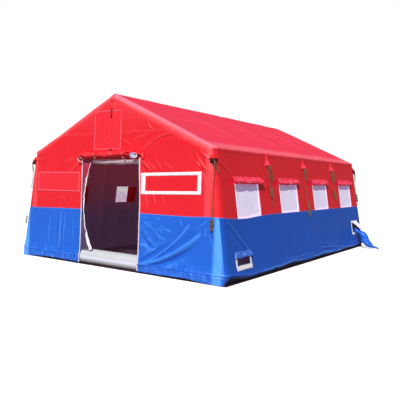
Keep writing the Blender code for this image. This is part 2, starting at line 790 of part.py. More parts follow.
def make_hatches():
    """White tape frames round the two low hatches, and the folded flap over the front one."""
    for (y, sill, height), name in zip(hatch_sizes(), ("hatch_frame_front", "hatch_frame_rear")):
        outer = rectangle(HATCH_FRAME_WIDTH, height)
        inner = rectangle(HATCH_FRAME_WIDTH - 2 * HATCH_BAND, height - 2 * HATCH_BAND)
        frame = add_object(name, plate_mesh(name, [outer, inner], TRIM_THICKNESS), "white_tape")
        frame.matrix_world = side_matrix(RIGHT, y, sill + height / 2, GAP + TRIM_THICKNESS / 2)

    outline = rolled_outline(
        HATCH_FLAP_RUN, FLAP_DROOP, HATCH_FLAP_ROLL, FLAP_TURNS, FLAP_SHEET, 1
    )
    z = FRONT_HATCH_SILL + HATCH_FRAME_HEIGHT + HATCH_HINGE_RISE
    name = "hatch_flap_front"
    flap = add_object(name, plate_mesh(name, [outline], HATCH_FLAP_WIDTH), "blue_cover")
    flap.matrix_world = roll_matrix((side_x(z) + FLAP_SHEET / 2 + GAP, FRONT_HATCH_Y, z), 0)
    smooth(flap)


def make_roll(name, material, left, right, top, heading, run, radius, turns, sheet):
    """Cloth sewn flat to the front wall above the door and rolled up away from it."""
    lean = math.degrees(math.atan(END_LEAN))
    outwards = heading < 0
    droop = 90 - lean if outwards else 90 + lean
    outline = rolled_outline(run, droop, radius, turns, sheet, -1)
    roll = add_object(name, plate_mesh(name, [outline], left + right), material)
    inset = -(GAP + sheet / 2) if outwards else SKIN + sheet / 2
    roll.matrix_world = roll_matrix(((right - left) / 2, -end_y(top, inset), top), heading)
    smooth(roll)


def make_door():
    """The rolled door curtain, the rolled mesh door inside it and the mesh panel left at one jamb."""
    make_roll(
        "door_roll", "red_cover", DOOR_ROLL_LEFT, DOOR_ROLL_RIGHT, DOOR_ROLL_TOP, -QUARTER_TURN,
        DOOR_ROLL_TAIL, DOOR_ROLL_RADIUS, DOOR_ROLL_TURNS, DOOR_ROLL_SHEET,
    )
    make_roll(
        "inner_door_roll", "door_mesh", INNER_ROLL_LEFT, INNER_ROLL_RIGHT, INNER_ROLL_TOP,
        QUARTER_TURN, INNER_ROLL_TAIL, INNER_ROLL_RADIUS, INNER_ROLL_TURNS, INNER_ROLL_SHEET,
    )
    jamb = -DOOR_WIDTH / 2
    top = INNER_ROLL_TOP - INNER_ROLL_TAIL - INNER_ROLL_RADIUS - INNER_ROLL_SHEET
    centre_x = jamb + ZIP_ARC_FROM_JAMB + ZIP_ARC_RADIUS
    low_angle = math.asin((SIDE_PANEL_SILL - ZIP_ARC_HEIGHT) / ZIP_ARC_RADIUS)
    high_angle = math.asin((top - ZIP_ARC_HEIGHT) / ZIP_ARC_RADIUS)
    outline = [(jamb - SIDE_PANEL_HEM, top), (jamb - SIDE_PANEL_HEM, SIDE_PANEL_SILL)]
    for i in range(ZIP_ARC_STEPS + 1):
        angle = low_angle + (high_angle - low_angle) * i / ZIP_ARC_STEPS
        x = centre_x - ZIP_ARC_RADIUS * math.cos(angle)
        outline.append((x, ZIP_ARC_HEIGHT + ZIP_ARC_RADIUS * math.sin(angle)))
    outline = [(x, (z - SIDE_PANEL_SILL) * END_HYP) for x, z in outline]
    panel = add_object(
        "door_side_panel", plate_mesh("door_side_panel", [outline], FILM_THICKNESS), "door_mesh"
    )
    panel.matrix_world = front_matrix(0, SIDE_PANEL_SILL, -(SKIN + FILM_THICKNESS / 2))


def make_tape_frame():
    outer = rectangle(TAPE_FRAME_WIDTH, TAPE_FRAME_HEIGHT)
    inner = rectangle(
        TAPE_FRAME_WIDTH - 2 * TAPE_FRAME_BAND, TAPE_FRAME_HEIGHT - 2 * TAPE_FRAME_BAND
    )
    mesh = plate_mesh("front_tape_frame", [outer, inner], TRIM_THICKNESS)
    frame = add_object("front_tape_frame", mesh, "white_tape")
    frame.matrix_world = front_matrix(TAPE_FRAME_X, TAPE_FRAME_Z, GAP + TRIM_THICKNESS / 2)


def smooth_route(points, count):
    """count points, evenly spread, on a smooth curve through the route's own points."""
    points = [np.array(p, float) for p in points]
    padded = [2 * points[0] - points[1]] + points + [2 * points[-1] - points[-2]]
    dense = []
    for a, b, c, d in zip(padded, padded[1:], padded[2:], padded[3:]):
        for t in np.linspace(0, 1, 12, endpoint=False):
            dense.append(
                0.5 * (2 * b + (c - a) * t + (2 * a - 5 * b + 4 * c - d) * t**2
                       + (3 * b - a - 3 * c + d) * t**3)
            )
    dense = np.array(dense + [points[-1]])
    lengths = np.concatenate([[0], np.cumsum(np.linalg.norm(np.diff(dense, axis=0), axis=1))])
    wanted = np.linspace(0, lengths[-1], count)
    return [tuple(np.interp(w, lengths, dense[:, k]) for k in range(3)) for w in wanted]


def route_length(points):
    return float(np.linalg.norm(np.diff(np.array(points), axis=0), axis=1).sum())


def make_duct_sleeve():
    """The cloth duct that leaves the rear hatch, narrows, and lies on the ground with its end tied."""
    sill = REAR_HATCH_SILL + HATCH_BAND
    opening = REAR_HATCH_HEIGHT - 2 * HATCH_BAND
    mouth_z = sill + opening / 2
    face = side_matrix(RIGHT, REAR_HATCH_Y, mouth_z, TRIM_THICKNESS + 2 * GAP)
    route = [face @ Vector((0, 0, SLEEVE_NECK))]
    route += [(BASE_WIDTH / 2 + dx, REAR_HATCH_Y + dy, z) for dx, dy, z, _ in SLEEVE_ROUTE]
    widths = [SLEEVE_MOUTH] + [radius for *_, radius in SLEEVE_ROUTE]
    points = [tuple(face.translation)] + smooth_route(route, SLEEVE_RINGS)
    stops = np.linspace(0, 1, len(widths))
    radii = [SLEEVE_MOUTH] + list(np.interp(np.linspace(0, 1, SLEEVE_RINGS), stops, widths))
    mesh = tube_mesh("duct_sleeve", points, 1.0, SLEEVE_SIDES, radii)
    sleeve = add_object("duct_sleeve", mesh, "blue_cover")
    smooth(sleeve)

    end = Vector(points[-1])
    ahead = (end - Vector(points[-2])).normalized()
    cord = [tuple(end + ahead * GAP)] + [tuple(end + ahead * (GAP + 2 * STRING_DIAMETER))]
    cord += [(BASE_WIDTH / 2 + dx, REAR_HATCH_Y + dy, STRING_HEIGHT) for dx, dy in STRING_ROUTE]
    route = smooth_route(cord, STRING_POINTS)
    mesh = tube_mesh("drawstring", route, STRING_DIAMETER / 2, 8)
    smooth(add_object("drawstring", mesh, "rope"))
    print(f"drawstring: length {route_length(route):.3f} m")


def turned(name, profile, material, place):
    """A turned piece from its (radius, height) profile, given down the outer side from the top."""
    bm = bmesh.new()
    verts = [bm.verts.new((r, 0, z)) for r, z in profile]
    for a, b in zip(verts, verts[1:]):
        bm.edges.new((a, b))
    mesh = bpy.data.meshes.new(name)
    bm.to_mesh(mesh)
    bm.free()
    obj = add_object(name, mesh, material)
    screw = obj.modifiers.new("turn", "SCREW")
    screw.axis = "Z"
    screw.steps = ROUND_STEPS
    screw.render_steps = ROUND_STEPS
    screw.use_merge_vertices = True
    screw.merge_threshold = 1e-5
    obj.location = place
    return obj


def make_valves():
    """The inflation valve with its cap, and the relief valve, on top of the rear ground tube."""
    y = end_y(TUBE_HEIGHT, TUBE_INSET)
    top = TUBE_HEIGHT + GROUND_TUBE_RADIUS
    seat = cylinder_mesh(
        "valve_seat", GROUND_TUBE_RADIUS + GAP / math.cos(math.pi / GROUND_TUBE_SIDES),
        BASE_WIDTH, GROUND_TUBE_SIDES,
    )
    seat_cutter = add_cutter("valve_seat", seat)
    seat_cutter.matrix_world = Matrix.Translation((0, y, TUBE_HEIGHT)) @ Matrix.Rotation(
        QUARTER_TURN, 4, "Y"
    )
    low = -VALVE_SKIRT
    base = VALVE_BASE_HEIGHT
    neck = base + VALVE_NECK_HEIGHT
    bore = VALVE_NECK_RADIUS - CAP_WALL
    body = turned(
        "inflation_valve",
        [(0, base), (bore, base), (bore, neck), (VALVE_NECK_RADIUS, neck), (VALVE_NECK_RADIUS, base),
         (VALVE_RADIUS, base), (VALVE_RADIUS, low), (0, low)],
        "valve_plastic", (VALVE_X, y, top),
    )
    boolean(body, seat_cutter)

    inner = CAP_RADIUS - CAP_WALL
    skirt = base + GAP
    turned(
        "valve_cap",
        [(0, neck + GAP + CAP_WALL), (inner, neck + GAP + CAP_WALL), (CAP_RADIUS, neck + GAP),
         (CAP_RADIUS, skirt), (inner, skirt), (inner, neck + GAP), (0, neck + GAP)],
        "valve_plastic", (VALVE_X, y, top),
    )

    relief = turned(
        "relief_valve",
        [(0, RELIEF_HEIGHT), (RELIEF_RADIUS * 0.6, RELIEF_HEIGHT), (RELIEF_RADIUS * 0.8, base),
         (RELIEF_RADIUS, base), (RELIEF_RADIUS, low), (0, low)],
        "valve_plastic", (RELIEF_X, y, top),
    )
    boolean(relief, seat_cutter)


def rope_stand(side, station):
    """Where a guy rope hangs: a function of height that gives the cover's face there, and the
    directions straight out of it and along it, in the XY plane."""
    if 0 < station < ARCH_COUNT - 1:
        y = ARCH_STATIONS[station]
        return lambda z: Vector((side * side_x(z), y)), Vector((side, 0)), Vector((0, 1))
    end = FRONT if station == 0 else REAR
    if side == RIGHT and end == FRONT:
        x = side_x(TAB_HEIGHT) - CORNER_ROPE_SHIFT
        return lambda z: Vector((x, -end_y(z))), Vector((0, -1)), Vector((1, 0))
    out = Vector((side, end)).normalized()
    middle = CORNER_BEVEL * (1 - math.sqrt(0.5))

    def corner(z):
        return Vector((side * (side_x(z) - middle), end * (end_y(z) - middle)))

    return corner, out, Vector((-out.y, out.x))


def half_circle(centre, radius, start, sweep, steps):
    """Points of a half circle in the (along, height) plane, without its two ends."""
    angles = [start + sweep * i / steps for i in range(1, steps)]
    return [(centre[0] + radius * math.cos(a), centre[1] + radius * math.sin(a)) for a in angles]


def hank_line(top, bottom):
    """(along, height, off) of the loops of a hank and the turns of rope that tie its waist."""
    reach = (top - bottom) / 2 - HANK_BEND
    middle = (top + bottom) / 2
    loop = [(HANK_BEND, reach), (HANK_BEND, -reach)]
    loop += half_circle((0, -reach), HANK_BEND, 0, -math.pi, 4)
    loop += [(-HANK_BEND, -reach), (-HANK_BEND, reach)]
    loop += half_circle((0, reach), HANK_BEND, math.pi, -math.pi, 4)
    pitch = ROPE_DIAMETER + TURN_SPACE
    line = []
    for turn in range(HANK_LOOPS):
        for i, (along, height) in enumerate(loop):
            off = HANK_OFF + pitch * (turn + i / len(loop))
            line.append((along, middle + height, off))
    line.append((HANK_BEND, middle + reach, HANK_OFF + pitch * HANK_LOOPS))
    half_depth = pitch * HANK_LOOPS / 2
    round_it = ROPE_DIAMETER + 1.5 * TURN_SPACE
    wide, deep = HANK_BEND + round_it, half_depth + round_it
    narrow, shallow = HANK_BEND + WRAP_CORNER, half_depth + WRAP_CORNER
    ring = [(narrow, deep), (wide, shallow), (wide, -shallow), (narrow, -deep)]
    ring += [(-narrow, -deep), (-wide, -shallow), (-wide, shallow), (-narrow, deep)]
    for i in range(HANK_WRAPS * len(ring) + 1):
        along, off = ring[i % len(ring)]
        height = middle + WRAP_RISE - pitch * i / len(ring)
        line.append((along, height, HANK_OFF + half_depth + off))
    return line


def tab_underside(side, station, place):
    """Height of the underside of a guy tab above a point of the XY plane."""
    frame = tab_frame(side, station)
    half = TAB_RADIUS * math.sin(math.pi / 3)
    left = frame @ Vector((-half, -TAB_RADIUS / 2, -TAB_SINK))
    right = frame @ Vector((half, -TAB_RADIUS / 2, -TAB_SINK))
    tip = frame @ Vector((0, -TAB_DROOP, TAB_REACH - TAB_SINK))
    normal = (right - left).cross(tip - left)
    return tip.z - (normal.x * (place.x - tip.x) + normal.y * (place.y - tip.y)) / normal.z


def rope_route(side, station):
    """The whole centre line of a guy rope, from the underside of its tab to the end of its tail."""
    doubled, top, bottom, tail = ROPE_HEIGHTS[station if side == RIGHT else station + ARCH_COUNT]
    face, out, along = rope_stand(side, station)
    plumb = side == RIGHT and station == 0
    off = PLUMB_OFF if plumb else ROPE_START_OFF
    tab_foot = TAB_HEIGHT - TAB_DROOP
    start = tab_underside(side, station, face(tab_foot) + out * off) - ROPE_START_GAP
    strand = 2 * ROPE_TURN

    def hanging(z, shift=0.0):
        return max(off - SIDE_LEAN * (start - z), HANK_OFF) + shift

    line = [(0, start, off)]
    if doubled:
        line += [(0, doubled, hanging(doubled))]
        line += [(a, z, hanging(z, STRAND_SHIFT / 2)) for a, z in
                 half_circle((ROPE_TURN, doubled), ROPE_TURN, math.pi, math.pi, 4)]
        high = start - strand
        middle, last = STRAND_SHIFT, 2 * STRAND_SHIFT
        line += [(strand, doubled, hanging(doubled, middle)), (strand, high, hanging(high, middle))]
        line += [(a, z, hanging(z, middle + STRAND_SHIFT / 2)) for a, z in
                 half_circle((ROPE_TURN, high), ROPE_TURN, 0, math.pi, 4)]
        low = doubled - strand
        line += [(0, high, hanging(high, last)), (0, low, hanging(low, last))]
    knee = min(doubled or start, start - ROPE_KNEE) - ROPE_KNEE
    rest = max(top + ROPE_KNEE, knee - ROPE_KNEE)
    line += [(0, rest, HANK_OFF + ROPE_DIAMETER / 2)]
    if rest - top > 2 * ROPE_KNEE:
        line += [(0, top + ROPE_KNEE, HANK_OFF)]
    line += hank_line(top, bottom)
    line += [(ROPE_TURN, bottom, line[-1][2]), (ROPE_TURN / 2, (bottom + tail) / 2, HANK_OFF)]
    line += [(0, tail, HANK_OFF)]
    points = []
    for a, z, o in line:
        place = face(z) + out * o + along * a
        points.append((place.x, place.y, z))
    return points


def least_gap(points, radius):
    """Clear space between parts of a tube that lie further apart along it than a few diameters."""
    points = np.array(points)
    dense = np.concatenate(
        [a + (b - a) * np.linspace(0, 1, 9)[:-1, None] for a, b in zip(points, points[1:])]
    )
    steps = np.linalg.norm(np.diff(dense, axis=0), axis=1)
    run = np.concatenate([[0], np.cumsum(steps)])
    apart = np.linalg.norm(dense[:, None] - dense[None], axis=2)
    far = np.abs(run[:, None] - run[None]) > 5 * radius
    return float(apart[far].min() - 2 * radius)


def make_guy_ropes():
    """Ten ropes, each one unbroken tube: a line from its tab, a hank tied at the waist, and a tail."""
    for side, side_name in ((RIGHT, "right"), (LEFT, "left")):
        for station in range(ARCH_COUNT):
            name = f"guy_rope_{side_name}_{station + 1}"
            route = rope_route(side, station)
            rope = add_object(name, tube_mesh(name, route, ROPE_DIAMETER / 2, ROPE_SIDES), "rope")
            smooth(rope, 80)
            gap = least_gap(route, ROPE_DIAMETER / 2)
            print(f"{name}: length {route_length(route):.3f} m, least gap {gap * 1000:.2f} mm")


make_floor()
make_air_frame()
make_cover()
make_lining()
make_windows()
make_window_flaps()
make_door()
make_tape_frame()
make_hatches()
make_duct_sleeve()
make_valves()
make_guy_ropes()
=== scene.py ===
"""Inflatable relief tent: the looks of the tent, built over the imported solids.

Metres, +Z up. The origin is the middle of the floor, on the ground. The door is in the end at -Y.
"""

import math

import bmesh
import bpy
import numpy as np
from bpy.props import FloatProperty, FloatVectorProperty, IntProperty, PointerProperty
from mathutils import Matrix, Vector


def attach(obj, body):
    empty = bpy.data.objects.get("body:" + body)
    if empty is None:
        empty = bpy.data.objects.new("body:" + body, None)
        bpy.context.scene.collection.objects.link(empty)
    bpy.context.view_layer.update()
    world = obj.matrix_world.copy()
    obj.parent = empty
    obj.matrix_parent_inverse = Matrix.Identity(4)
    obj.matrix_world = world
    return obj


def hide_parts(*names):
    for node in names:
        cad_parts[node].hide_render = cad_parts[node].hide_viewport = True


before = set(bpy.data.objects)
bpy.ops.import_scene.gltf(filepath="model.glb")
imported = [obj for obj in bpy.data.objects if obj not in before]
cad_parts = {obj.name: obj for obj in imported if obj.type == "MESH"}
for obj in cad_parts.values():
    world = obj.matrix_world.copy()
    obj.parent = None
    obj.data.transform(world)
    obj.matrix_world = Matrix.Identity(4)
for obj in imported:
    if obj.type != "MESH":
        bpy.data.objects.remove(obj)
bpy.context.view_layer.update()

bl_info = {
    "name": "Inflatable relief tent",
    "version": (1, 0, 0),
    "blender": (4, 5, 0),
    "location": "View3D > Sidebar > Tent",
    "description": "Cloth, trim, ropes and stage of an inflatable relief tent",
    "category": "Object",
}

# The tent's outer form, as in the solids
BASE_WIDTH = 5.10
BASE_LENGTH = 6.88
EAVE_HEIGHT = 2.155
RIDGE_HEIGHT = 3.17
SIDE_LEAN = 0.159
END_LEAN = 0.032
SEAM_HEIGHT = 1.034
EAVE_SEAM_HEIGHT = 2.09
EAVE_HALF_WIDTH = BASE_WIDTH / 2 - SIDE_LEAN * EAVE_HEIGHT
ROOF_SLOPE = (RIDGE_HEIGHT - EAVE_HEIGHT) / EAVE_HALF_WIDTH
SIDE_HYP = math.hypot(1, SIDE_LEAN)
END_HYP = math.hypot(1, END_LEAN)
ROOF_HYP = math.hypot(1, ROOF_SLOPE)
SECTION_ROUND = 0.15
END_ROUND = 0.13
RIDGE_CREASE = 0.75 * SECTION_ROUND * ROOF_SLOPE
ARCH_PITCH = 1.63
BAY_CENTRES = [ARCH_PITCH * k for k in (-1.5, -0.5, 0.5, 1.5)]
ARCH_STATIONS = [ARCH_PITCH * k for k in (-2, -1, 0, 1, 2)]
DOOR_HALF = 0.745
DOOR_HEIGHT = 1.976
WINDOW_WIDTH = 0.81
WINDOW_HEIGHT = 0.666
LINING_INSET = 0.302
# How far out from the middle a wall's points keep their own place along it
END_KEEP = 2.05
SIDE_KEEP = 3.12
# How far the roof and the skirt lie over the walls that they are welded to
LAP_LIFT = 0.0015
RIGHT, LEFT = 1, -1
FRONT, REAR = -1, 1
UP = Vector((0, 0, 1))


def side_x(z, inset=0.0):
    return BASE_WIDTH / 2 - inset * SIDE_HYP - SIDE_LEAN * z


def end_y(z, inset=0.0):
    return BASE_LENGTH / 2 - inset * END_HYP - END_LEAN * z


def roof_z(x, inset=0.0):
    return RIDGE_HEIGHT - inset * ROOF_HYP - ROOF_SLOPE * abs(x)


def eave_point(inset):
    """Where the side wall meets the roof, with both moved inwards by inset."""
    x = (side_x(0, inset) - SIDE_LEAN * roof_z(0, inset)) / (1 - SIDE_LEAN * ROOF_SLOPE)
    return x, roof_z(x, inset)


# Settings


class TentCameraSettings(bpy.types.PropertyGroup):
    """Where the photograph was taken from."""

    lens: FloatProperty(name="Lens", description="Focal length", default=44.70, unit="CAMERA")
    yaw: FloatProperty(
        name="Yaw", description="Heading from +Y towards +X",
        default=math.radians(-35.041), subtype="ANGLE",
    )
    pitch: FloatProperty(
        name="Pitch", description="Angle of the view above level",
        default=math.radians(-2.180), subtype="ANGLE",
    )
    roll: FloatProperty(
        name="Roll", description="Turn of the picture about the view",
        default=math.radians(1.198), subtype="ANGLE",
    )
    place: FloatVectorProperty(
        name="Place", description="Where the camera stands", size=3,
        default=(6.506, -9.825, 1.616), unit="LENGTH", subtype="TRANSLATION",
    )


class TentLightSettings(bpy.types.PropertyGroup):
    """Lamps and the surroundings."""

    key_power: FloatProperty(name="Key light", description="Strength of the key light", default=3.9)
    key_spread: FloatProperty(
        name="Key spread", description="Angle the key light is spread over",
        default=math.radians(2), subtype="ANGLE",
    )
    key_from: FloatVectorProperty(
        name="Key direction", description="Direction the key light comes from", size=3,
        default=(0.28, -0.69, 0.665), subtype="DIRECTION",
    )
    fill: FloatProperty(name="Fill", description="Strength of the surroundings", default=0.16)


class TentClothSettings(bpy.types.PropertyGroup):
    """How fine the cloth's mesh is and how deep its folds are."""

    step: FloatProperty(
        name="Step", description="Distance between the cloth's points", default=0.024,
        unit="LENGTH",
    )
    fine: FloatProperty(
        name="Fine step", description="The same on the front wall and up the walls", default=0.015,
        unit="LENGTH",
    )
    fold_depth: FloatProperty(name="Fold depth", description="Scale of all folds", default=1.0)
    roof_sag: FloatProperty(
        name="Roof sag", description="Sag of the roof between two arches", default=0.028,
        unit="LENGTH",
    )
    wall_sag: FloatProperty(
        name="Wall sag", description="Hollow of a side wall between two arches", default=0.012,
        unit="LENGTH",
    )
    seed: IntProperty(name="Seed", description="Seed of the folds' places", default=7)


class TentRopeSettings(bpy.types.PropertyGroup):
    """The guy ropes."""

    diameter: FloatProperty(
        name="Diameter", description="Diameter of a guy rope", default=0.008, unit="LENGTH",
    )
    sides: IntProperty(name="Sides", description="Points round a rope", default=10)
    smoothing: IntProperty(
        name="Smoothing", description="Points made between two points of the route", default=4
    )


# Mesh tools


def stack(*values):
    """Arrays or numbers side by side, as the last axis of one array."""
    return np.stack(np.broadcast_arrays(*values), axis=-1)


def bump(off, wide):
    """1 at the middle of a smooth bump, less the further off."""
    return np.exp(-(off / wide) ** 2)


def unit(vectors):
    return vectors / np.linalg.norm(vectors, axis=1)[:, None]


def run_along(points):
    """Distance along the line at each of its points."""
    return np.concatenate([[0], np.cumsum(np.linalg.norm(np.diff(points, axis=0), axis=1))])


def resampled(points, run, wanted):
    """Points of the line at the wanted places of its run."""
    return stack(*(np.interp(wanted, run, column) for column in np.transpose(points)))


def shares(across, up):
    """Grids of the share of a sheet's width and height at each of its points."""
    return np.meshgrid(np.linspace(0, 1, across), np.linspace(0, 1, up))


def placed(matrix, local):
    """Points given from a matrix's own place and directions, as points of the tent."""
    return local @ matrix[:3, :3].T + matrix[:3, 3]


def lattice(ix, iy, iz, seed):
    """A value from 0 to 1 for each whole-number place, always the same for one seed."""
    n = ix * 374761393 + iy * 668265263 + iz * 2147483647 + seed * 974634777
    n = (n ^ (n >> 13)) * 1274126177
    n = n ^ (n >> 16)
    return (n & 0xFFFFFF) / float(0xFFFFFF)


def noise(points, size, seed=0):
    """Smooth noise from -1 to 1 at each point, with features about as large as size."""
    q = np.asarray(points, float) / size
    base = np.floor(q).astype(np.int64)
    part = q - base
    part = part * part * (3 - 2 * part)
    total = 0.0
    for corner in range(8):
        bits = [(corner >> k) & 1 for k in range(3)]
        weight = 1.0
        for k, bit in enumerate(bits):
            weight = weight * (part[..., k] if bit else 1 - part[..., k])
        place = [base[..., k] + bits[k] for k in range(3)]
        total = total + weight * lattice(*place, seed)
    return 2 * total - 1


def creased(points, size, seed=0):
    """Noise with sharp crests, from 0 to 1."""
    return 1 - np.abs(noise(points, size, seed))


def ease(low, high, value):
    t = np.clip((value - low) / (high - low), 0, 1)
    return t * t * (3 - 2 * t)


def lines(marks, step):
    """Values from the first mark to the last, about step apart, with one on every mark."""
    marks = sorted(marks)
    out = [marks[0]]
    for a, b in zip(marks, marks[1:]):
        count = max(1, math.ceil((b - a) / step))
        out += [a + (b - a) * k / count for k in range(1, count + 1)]
    return np.array(out)


def blurred(values, reach):
    """Mean of each value's neighbours in a grid, out to reach places each way."""
    for axis in (0, 1):
        widths = [(reach + 1, reach) if k == axis else (0, 0) for k in (0, 1)]
        total = np.cumsum(np.pad(values, widths, mode="edge"), axis=axis)
        size = values.shape[axis]
        high = np.take(total, np.arange(2 * reach + 1, 2 * reach + 1 + size), axis=axis)
        values = (high - np.take(total, np.arange(size), axis=axis)) / (2 * reach + 1)
    return values


def crest_of(height, reach=3, full=0.005):
    """Which points lie on a fold's crest, 1, and which in a hollow, -1."""
    return np.clip((height - blurred(blurred(height, reach), reach)) / full, -1, 1)


def grid_mesh(
    name, points, uv, outward, wrap=False, caps=False, drop=None, crest=None, judged=None
):
    """A mesh from a grid of points, rows by columns, whose faces look the way outward points.

    wrap joins the last column to the first, and caps closes the first and last row. drop is a mask
    of faces to leave out. Where a sheet curls round, only its first judged rows are compared with
    outward.
    """
    rows, cols = points.shape[:2]
    outward = np.broadcast_to(outward, points.shape)
    bm = bmesh.new()
    bmesh.ops.create_grid(bm, x_segments=cols - 1, y_segments=rows - 1, size=1.0)
    mesh = finished(name, bm)
    mesh.vertices.foreach_set("co", np.asarray(points, np.float32).ravel())
    mesh.update()
    layer = mesh.uv_layers.new(name="UVMap")
    corner = np.empty(len(mesh.loops), np.int32)
    mesh.loops.foreach_get("vertex_index", corner)
    layer.data.foreach_set("uv", np.asarray(uv, np.float32).reshape(-1, 2)[corner].ravel())
    # crest goes to the materials, which paint highlights on crests and shade in hollows
    if crest is not None:
        values = mesh.attributes.new("crest", "FLOAT", "POINT")
        values.data.foreach_set("value", np.asarray(crest, np.float32).ravel())
    bm = bmesh.new()
    bm.from_mesh(mesh)
    bm.verts.ensure_lookup_table()
    bm.faces.ensure_lookup_table()
    bm.verts.index_update()
    bm.normal_update()
    looked_at = [f for f in bm.faces if not judged or grid_cell(f, cols)[0] < judged]
    facing = sum(
        f.normal.dot(Vector(outward[f.verts[0].index // cols, f.verts[0].index % cols]))
        for f in looked_at[:: 1 if judged else max(1, len(looked_at) // 200)]
    )
    if facing < 0:
        bmesh.ops.reverse_faces(bm, faces=bm.faces[:])
    if drop is not None:
        gone = [f for f in bm.faces if drop[grid_cell(f, cols)]]
        bmesh.ops.delete(bm, geom=gone, context="FACES")
    if wrap:
        bmesh.ops.remove_doubles(bm, verts=bm.verts[:], dist=1e-6)
    if caps:
        edges = [e for e in bm.edges if e.is_boundary]
        bmesh.ops.holes_fill(bm, edges=edges, sides=0)
        bmesh.ops.recalc_face_normals(bm, faces=bm.faces[:])
    return finished(name, bm, mesh)


def finished(name, bm, mesh=None):
    """Turns the working mesh into a smooth mesh of this name, or puts it back into its own."""
    mesh = mesh or bpy.data.meshes.new(name)
    bm.to_mesh(mesh)
    bm.free()
    mesh.shade_smooth()
    return mesh


def grid_cell(face, cols):
    low = min(v.index for v in face.verts)
    return low // cols, low % cols


def add_piece(name, mesh, finish, node=None, body="tent"):
    """Puts a piece in the scene, on its body and in place of its node."""
    obj = bpy.data.objects.new(name, mesh)
    bpy.context.scene.collection.objects.link(obj)
    mesh.materials.append(MATERIALS[finish])
    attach(obj, body)
    if node:
        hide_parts(node)
    return obj


def joined(name, meshes):
    """Several meshes as one, with points that meet joined."""
    bm = bmesh.new()
    for mesh in meshes:
        bm.from_mesh(mesh)
    bmesh.ops.remove_doubles(bm, verts=bm.verts[:], dist=1e-5)
    out = finished(name, bm)
    for mesh in meshes:
        bpy.data.meshes.remove(mesh)
    return out


def declare_sheet(piece, width):
    """Works out the piece's area and the length a sheet of this width would be cut to; nothing is
    kept.
    """
    area = sum(p.area for p in piece.data.polygons)
    area / width


def declare_cord(line):
    float(run_along(line)[-1])
    [tuple(p) for p in line]


def smooth_line(points, between):
    """A smooth curve through points, with so many new points between each two."""
    points = np.asarray(points, float)
    padded = np.vstack([2 * points[0] - points[1], points, 2 * points[-1] - points[-2]])
    out = []
    for a, b, c, d in zip(padded, padded[1:], padded[2:], padded[3:]):
        for t in np.arange(between) / between:
            out.append(
                0.5 * (2 * b + (c - a) * t + (2 * a - 5 * b + 4 * c - d) * t * t
                       + (3 * b - a - 3 * c + d) * t ** 3)
            )
    return np.array(out + [points[-1]])


def frames_along(points):
    """Two unit vectors square to the line at each point, turning as little as they can."""
    ahead = unit(np.gradient(points, axis=0))
    side = np.cross(ahead[0], (0.3, 0.2, 0.93))
    first, second = [], []
    for direction in ahead:
        side = side - direction * np.dot(side, direction)
        side /= np.linalg.norm(side)
        first.append(side)
        second.append(np.cross(direction, side))
    return np.array(first), np.array(second)


def tube(name, points, radius, sides=12, shape=None):
    """A round tube along points. radius is a number or one for each point, and shape is a function
    (how far out each ring's points are, rings) that gives how far out they come to lie."""
    points = np.asarray(points, float)
    first, second = frames_along(points)
    radius = np.broadcast_to(radius, len(points))
    turn = np.linspace(0, 2 * math.pi, sides + 1)
    out = (
        first[:, None] * np.cos(turn)[None, :, None] + second[:, None] * np.sin(turn)[None, :, None]
    )
    rings = points[:, None] + out * radius[:, None, None]
    if shape:
        rings = points[:, None] + shape(rings - points[:, None], rings)
        rings[:, -1] = rings[:, 0]
    uv = stack(turn[None, :] / (2 * math.pi), run_along(points)[:, None])
    return grid_mesh(name, rings, uv, out, wrap=True, caps=True)


def ribbon(name, points, across, half_widths, half_thick=0.0014, sides=12):
    """A flat tape along points. across is the direction of its width at each point, and half_widths
    is a number or one for each point."""
    points = np.asarray(points, float)
    across = np.broadcast_to(across, points.shape)
    ahead = unit(np.gradient(points, axis=0))
    across = unit(across - ahead * (across * ahead).sum(1)[:, None])
    turn = np.linspace(0, 2 * math.pi, sides + 1)
    wide = np.cos(turn)[None, :] * np.broadcast_to(half_widths, len(points))[:, None]
    spoke = across[:, None] * wide[..., None]
    spoke = spoke + np.cross(ahead, across)[:, None] * (np.sin(turn) * half_thick)[None, :, None]
    uv = stack(wide, run_along(points)[:, None])
    return grid_mesh(name, points[:, None] + spoke, uv, spoke, wrap=True, caps=True)


# The tent's skin


def nearest_inset(x, z, inset):
    """The nearest point of the cross-section moved inwards by the rounding, for x from 0 up."""
    corner_x, corner_z = eave_point(inset + SECTION_ROUND)
    top = roof_z(0, inset + SECTION_ROUND)
    roof_run = math.hypot(corner_x, top - corner_z)
    up = np.array([-SIDE_LEAN, 1]) / SIDE_HYP
    along_roof = np.array([-1, ROOF_SLOPE]) / ROOF_HYP
    dx, dz = x - corner_x, z - corner_z
    down = np.minimum(dx * up[0] + dz * up[1], 0)
    roofward = np.clip(dx * along_roof[0] + dz * along_roof[1], 0, roof_run + RIDGE_CREASE)
    side = np.stack([corner_x + down * up[0], corner_z + down * up[1]])
    roof = np.stack([corner_x + roofward * along_roof[0], corner_z + roofward * along_roof[1]])
    far_side = np.hypot(x - side[0], z - side[1])
    far_roof = np.hypot(x - roof[0], z - roof[1])
    q = np.where(far_side < far_roof, side, roof)
    far = np.minimum(far_side, far_roof)
    inside = (x < side_x(z, inset + SECTION_ROUND)) & (
        z < RIDGE_HEIGHT - (inset + SECTION_ROUND) * ROOF_HYP - ROOF_SLOPE * x
    )
    return q, np.where(inside, 0, far)


